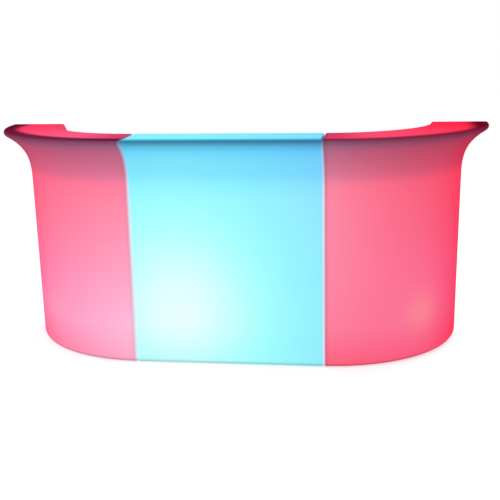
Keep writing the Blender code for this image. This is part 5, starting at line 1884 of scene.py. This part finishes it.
nylon_finish = moulded_finish("nylon", NYLON_BLACK, 0.55, 1300.0)
for name in MODULES:
    for number, (x, y) in enumerate(foot_places(is_corner(name)), 1):
        place = module_frame(name) @ Matrix.Translation((x, y, 0))
        body = f"foot_{name}_{number}"
        mesh = foot_mesh(f"screw_{body}")
        dress(f"screw_{body}", mesh, place, nylon_finish, body, "foot", body, smooth=30)
        mesh = threaded_mesh(f"stud_{body}", FOOT_HEIGHT, FOOT_HEIGHT + FOOT_STUD_LENGTH)
        dress(f"stud_{body}", mesh, place, steel_finish, body, "clamp_bolt", smooth=25)


# The knob bolts: black star knobs on threaded steel rods, turned by hand in the bay. They draw the
# modules together, two for each seam.
KNOB_RADIUS = 0.021
KNOB_LOBE = 0.004
KNOB_LOBES = 5
KNOB_LENGTH = 0.025
KNOB_NECK_LENGTH = 0.008
KNOB_BORE_DEPTH = 0.015
KNOB_EDGE = 0.003
KNOB_TOP_INSET = 0.004
KNOB_TOP_LOBE = 0.0028
KNOB_LOW_STEPS = 4
KNOB_TOP_STEPS = 5
KNOB_SIDES = 100
KNOB_BLACK = linear(36, 36, 38)


def star(radius, lobe):
    """A round outline's reach, with the knob's lobes on it."""
    return lambda angle: radius + lobe * math.cos(KNOB_LOBES * angle)


def knob_mesh(name):
    """The knob as level rings from the foot of its bore, down and round to its dished top."""
    bore, neck, top = BOLT_RADIUS + CLEARANCE, KNOB_NECK_RADIUS, KNOB_LENGTH
    low, edge = KNOB_NECK_LENGTH, KNOB_EDGE
    rings = [
        (KNOB_BORE_DEPTH, bore), (edge / 6, bore), (0, bore + edge / 6), (0, neck - edge / 3),
        (edge / 3, neck), (low - edge / 3, neck), (low, neck + edge / 3),
    ]
    for across, along in quarter_round(KNOB_LOW_STEPS):
        reach = star(KNOB_RADIUS - edge * across, KNOB_LOBE - edge * across / 4)
        rings.append((low + edge * along, reach))
    for across, along in quarter_round(KNOB_TOP_STEPS):
        lobe = KNOB_LOBE + (KNOB_TOP_LOBE - KNOB_LOBE) * along
        rings.append((top - edge * across, star(KNOB_RADIUS - KNOB_TOP_INSET * along, lobe)))
    rings += [
        (top - edge / 12, star(0.62 * KNOB_RADIUS, 0.25 * KNOB_LOBE)),
        (top - edge / 3, 0.50 * KNOB_RADIUS), (top - edge / 3, 0.30 * KNOB_RADIUS),
    ]
    return lofted_mesh(name, [level_ring(KNOB_SIDES, z, reach) for z, reach in rings])


knob_finish = moulded_finish("knob_plastic", KNOB_BLACK, 0.42, 1400.0)
for level, height, seat_plane in knob_levels():
    seat = seat_plane - CLEARANCE
    length = STRAIGHT_WIDTH / 2 + BOLT_GRIP - seat
    for side, end in ((-1, "left"), (1, "right")):
        place = module_frame("middle") @ Matrix.Translation((side * seat, BOLT_DEPTH_PLACE, height))
        place = place @ Matrix.Rotation(math.radians(-side * 90), 4, "Y")
        which = f"{end}_{level}"
        dress(
            f"star_knob_{which}", knob_mesh(f"star_knob_{which}"), place, knob_finish,
            f"clamp_{which}", "clamp_knob", f"clamp_knob_{which}", smooth=40,
        )
        mesh = threaded_mesh(f"rod_{which}", -length, KNOB_BORE_DEPTH - CLEARANCE, BOLT_RADIUS)
        dress(
            f"rod_{which}", mesh, place, steel_finish, f"clamp_{which}", "clamp_bolt",
            f"clamp_bolt_{which}", smooth=25,
        )
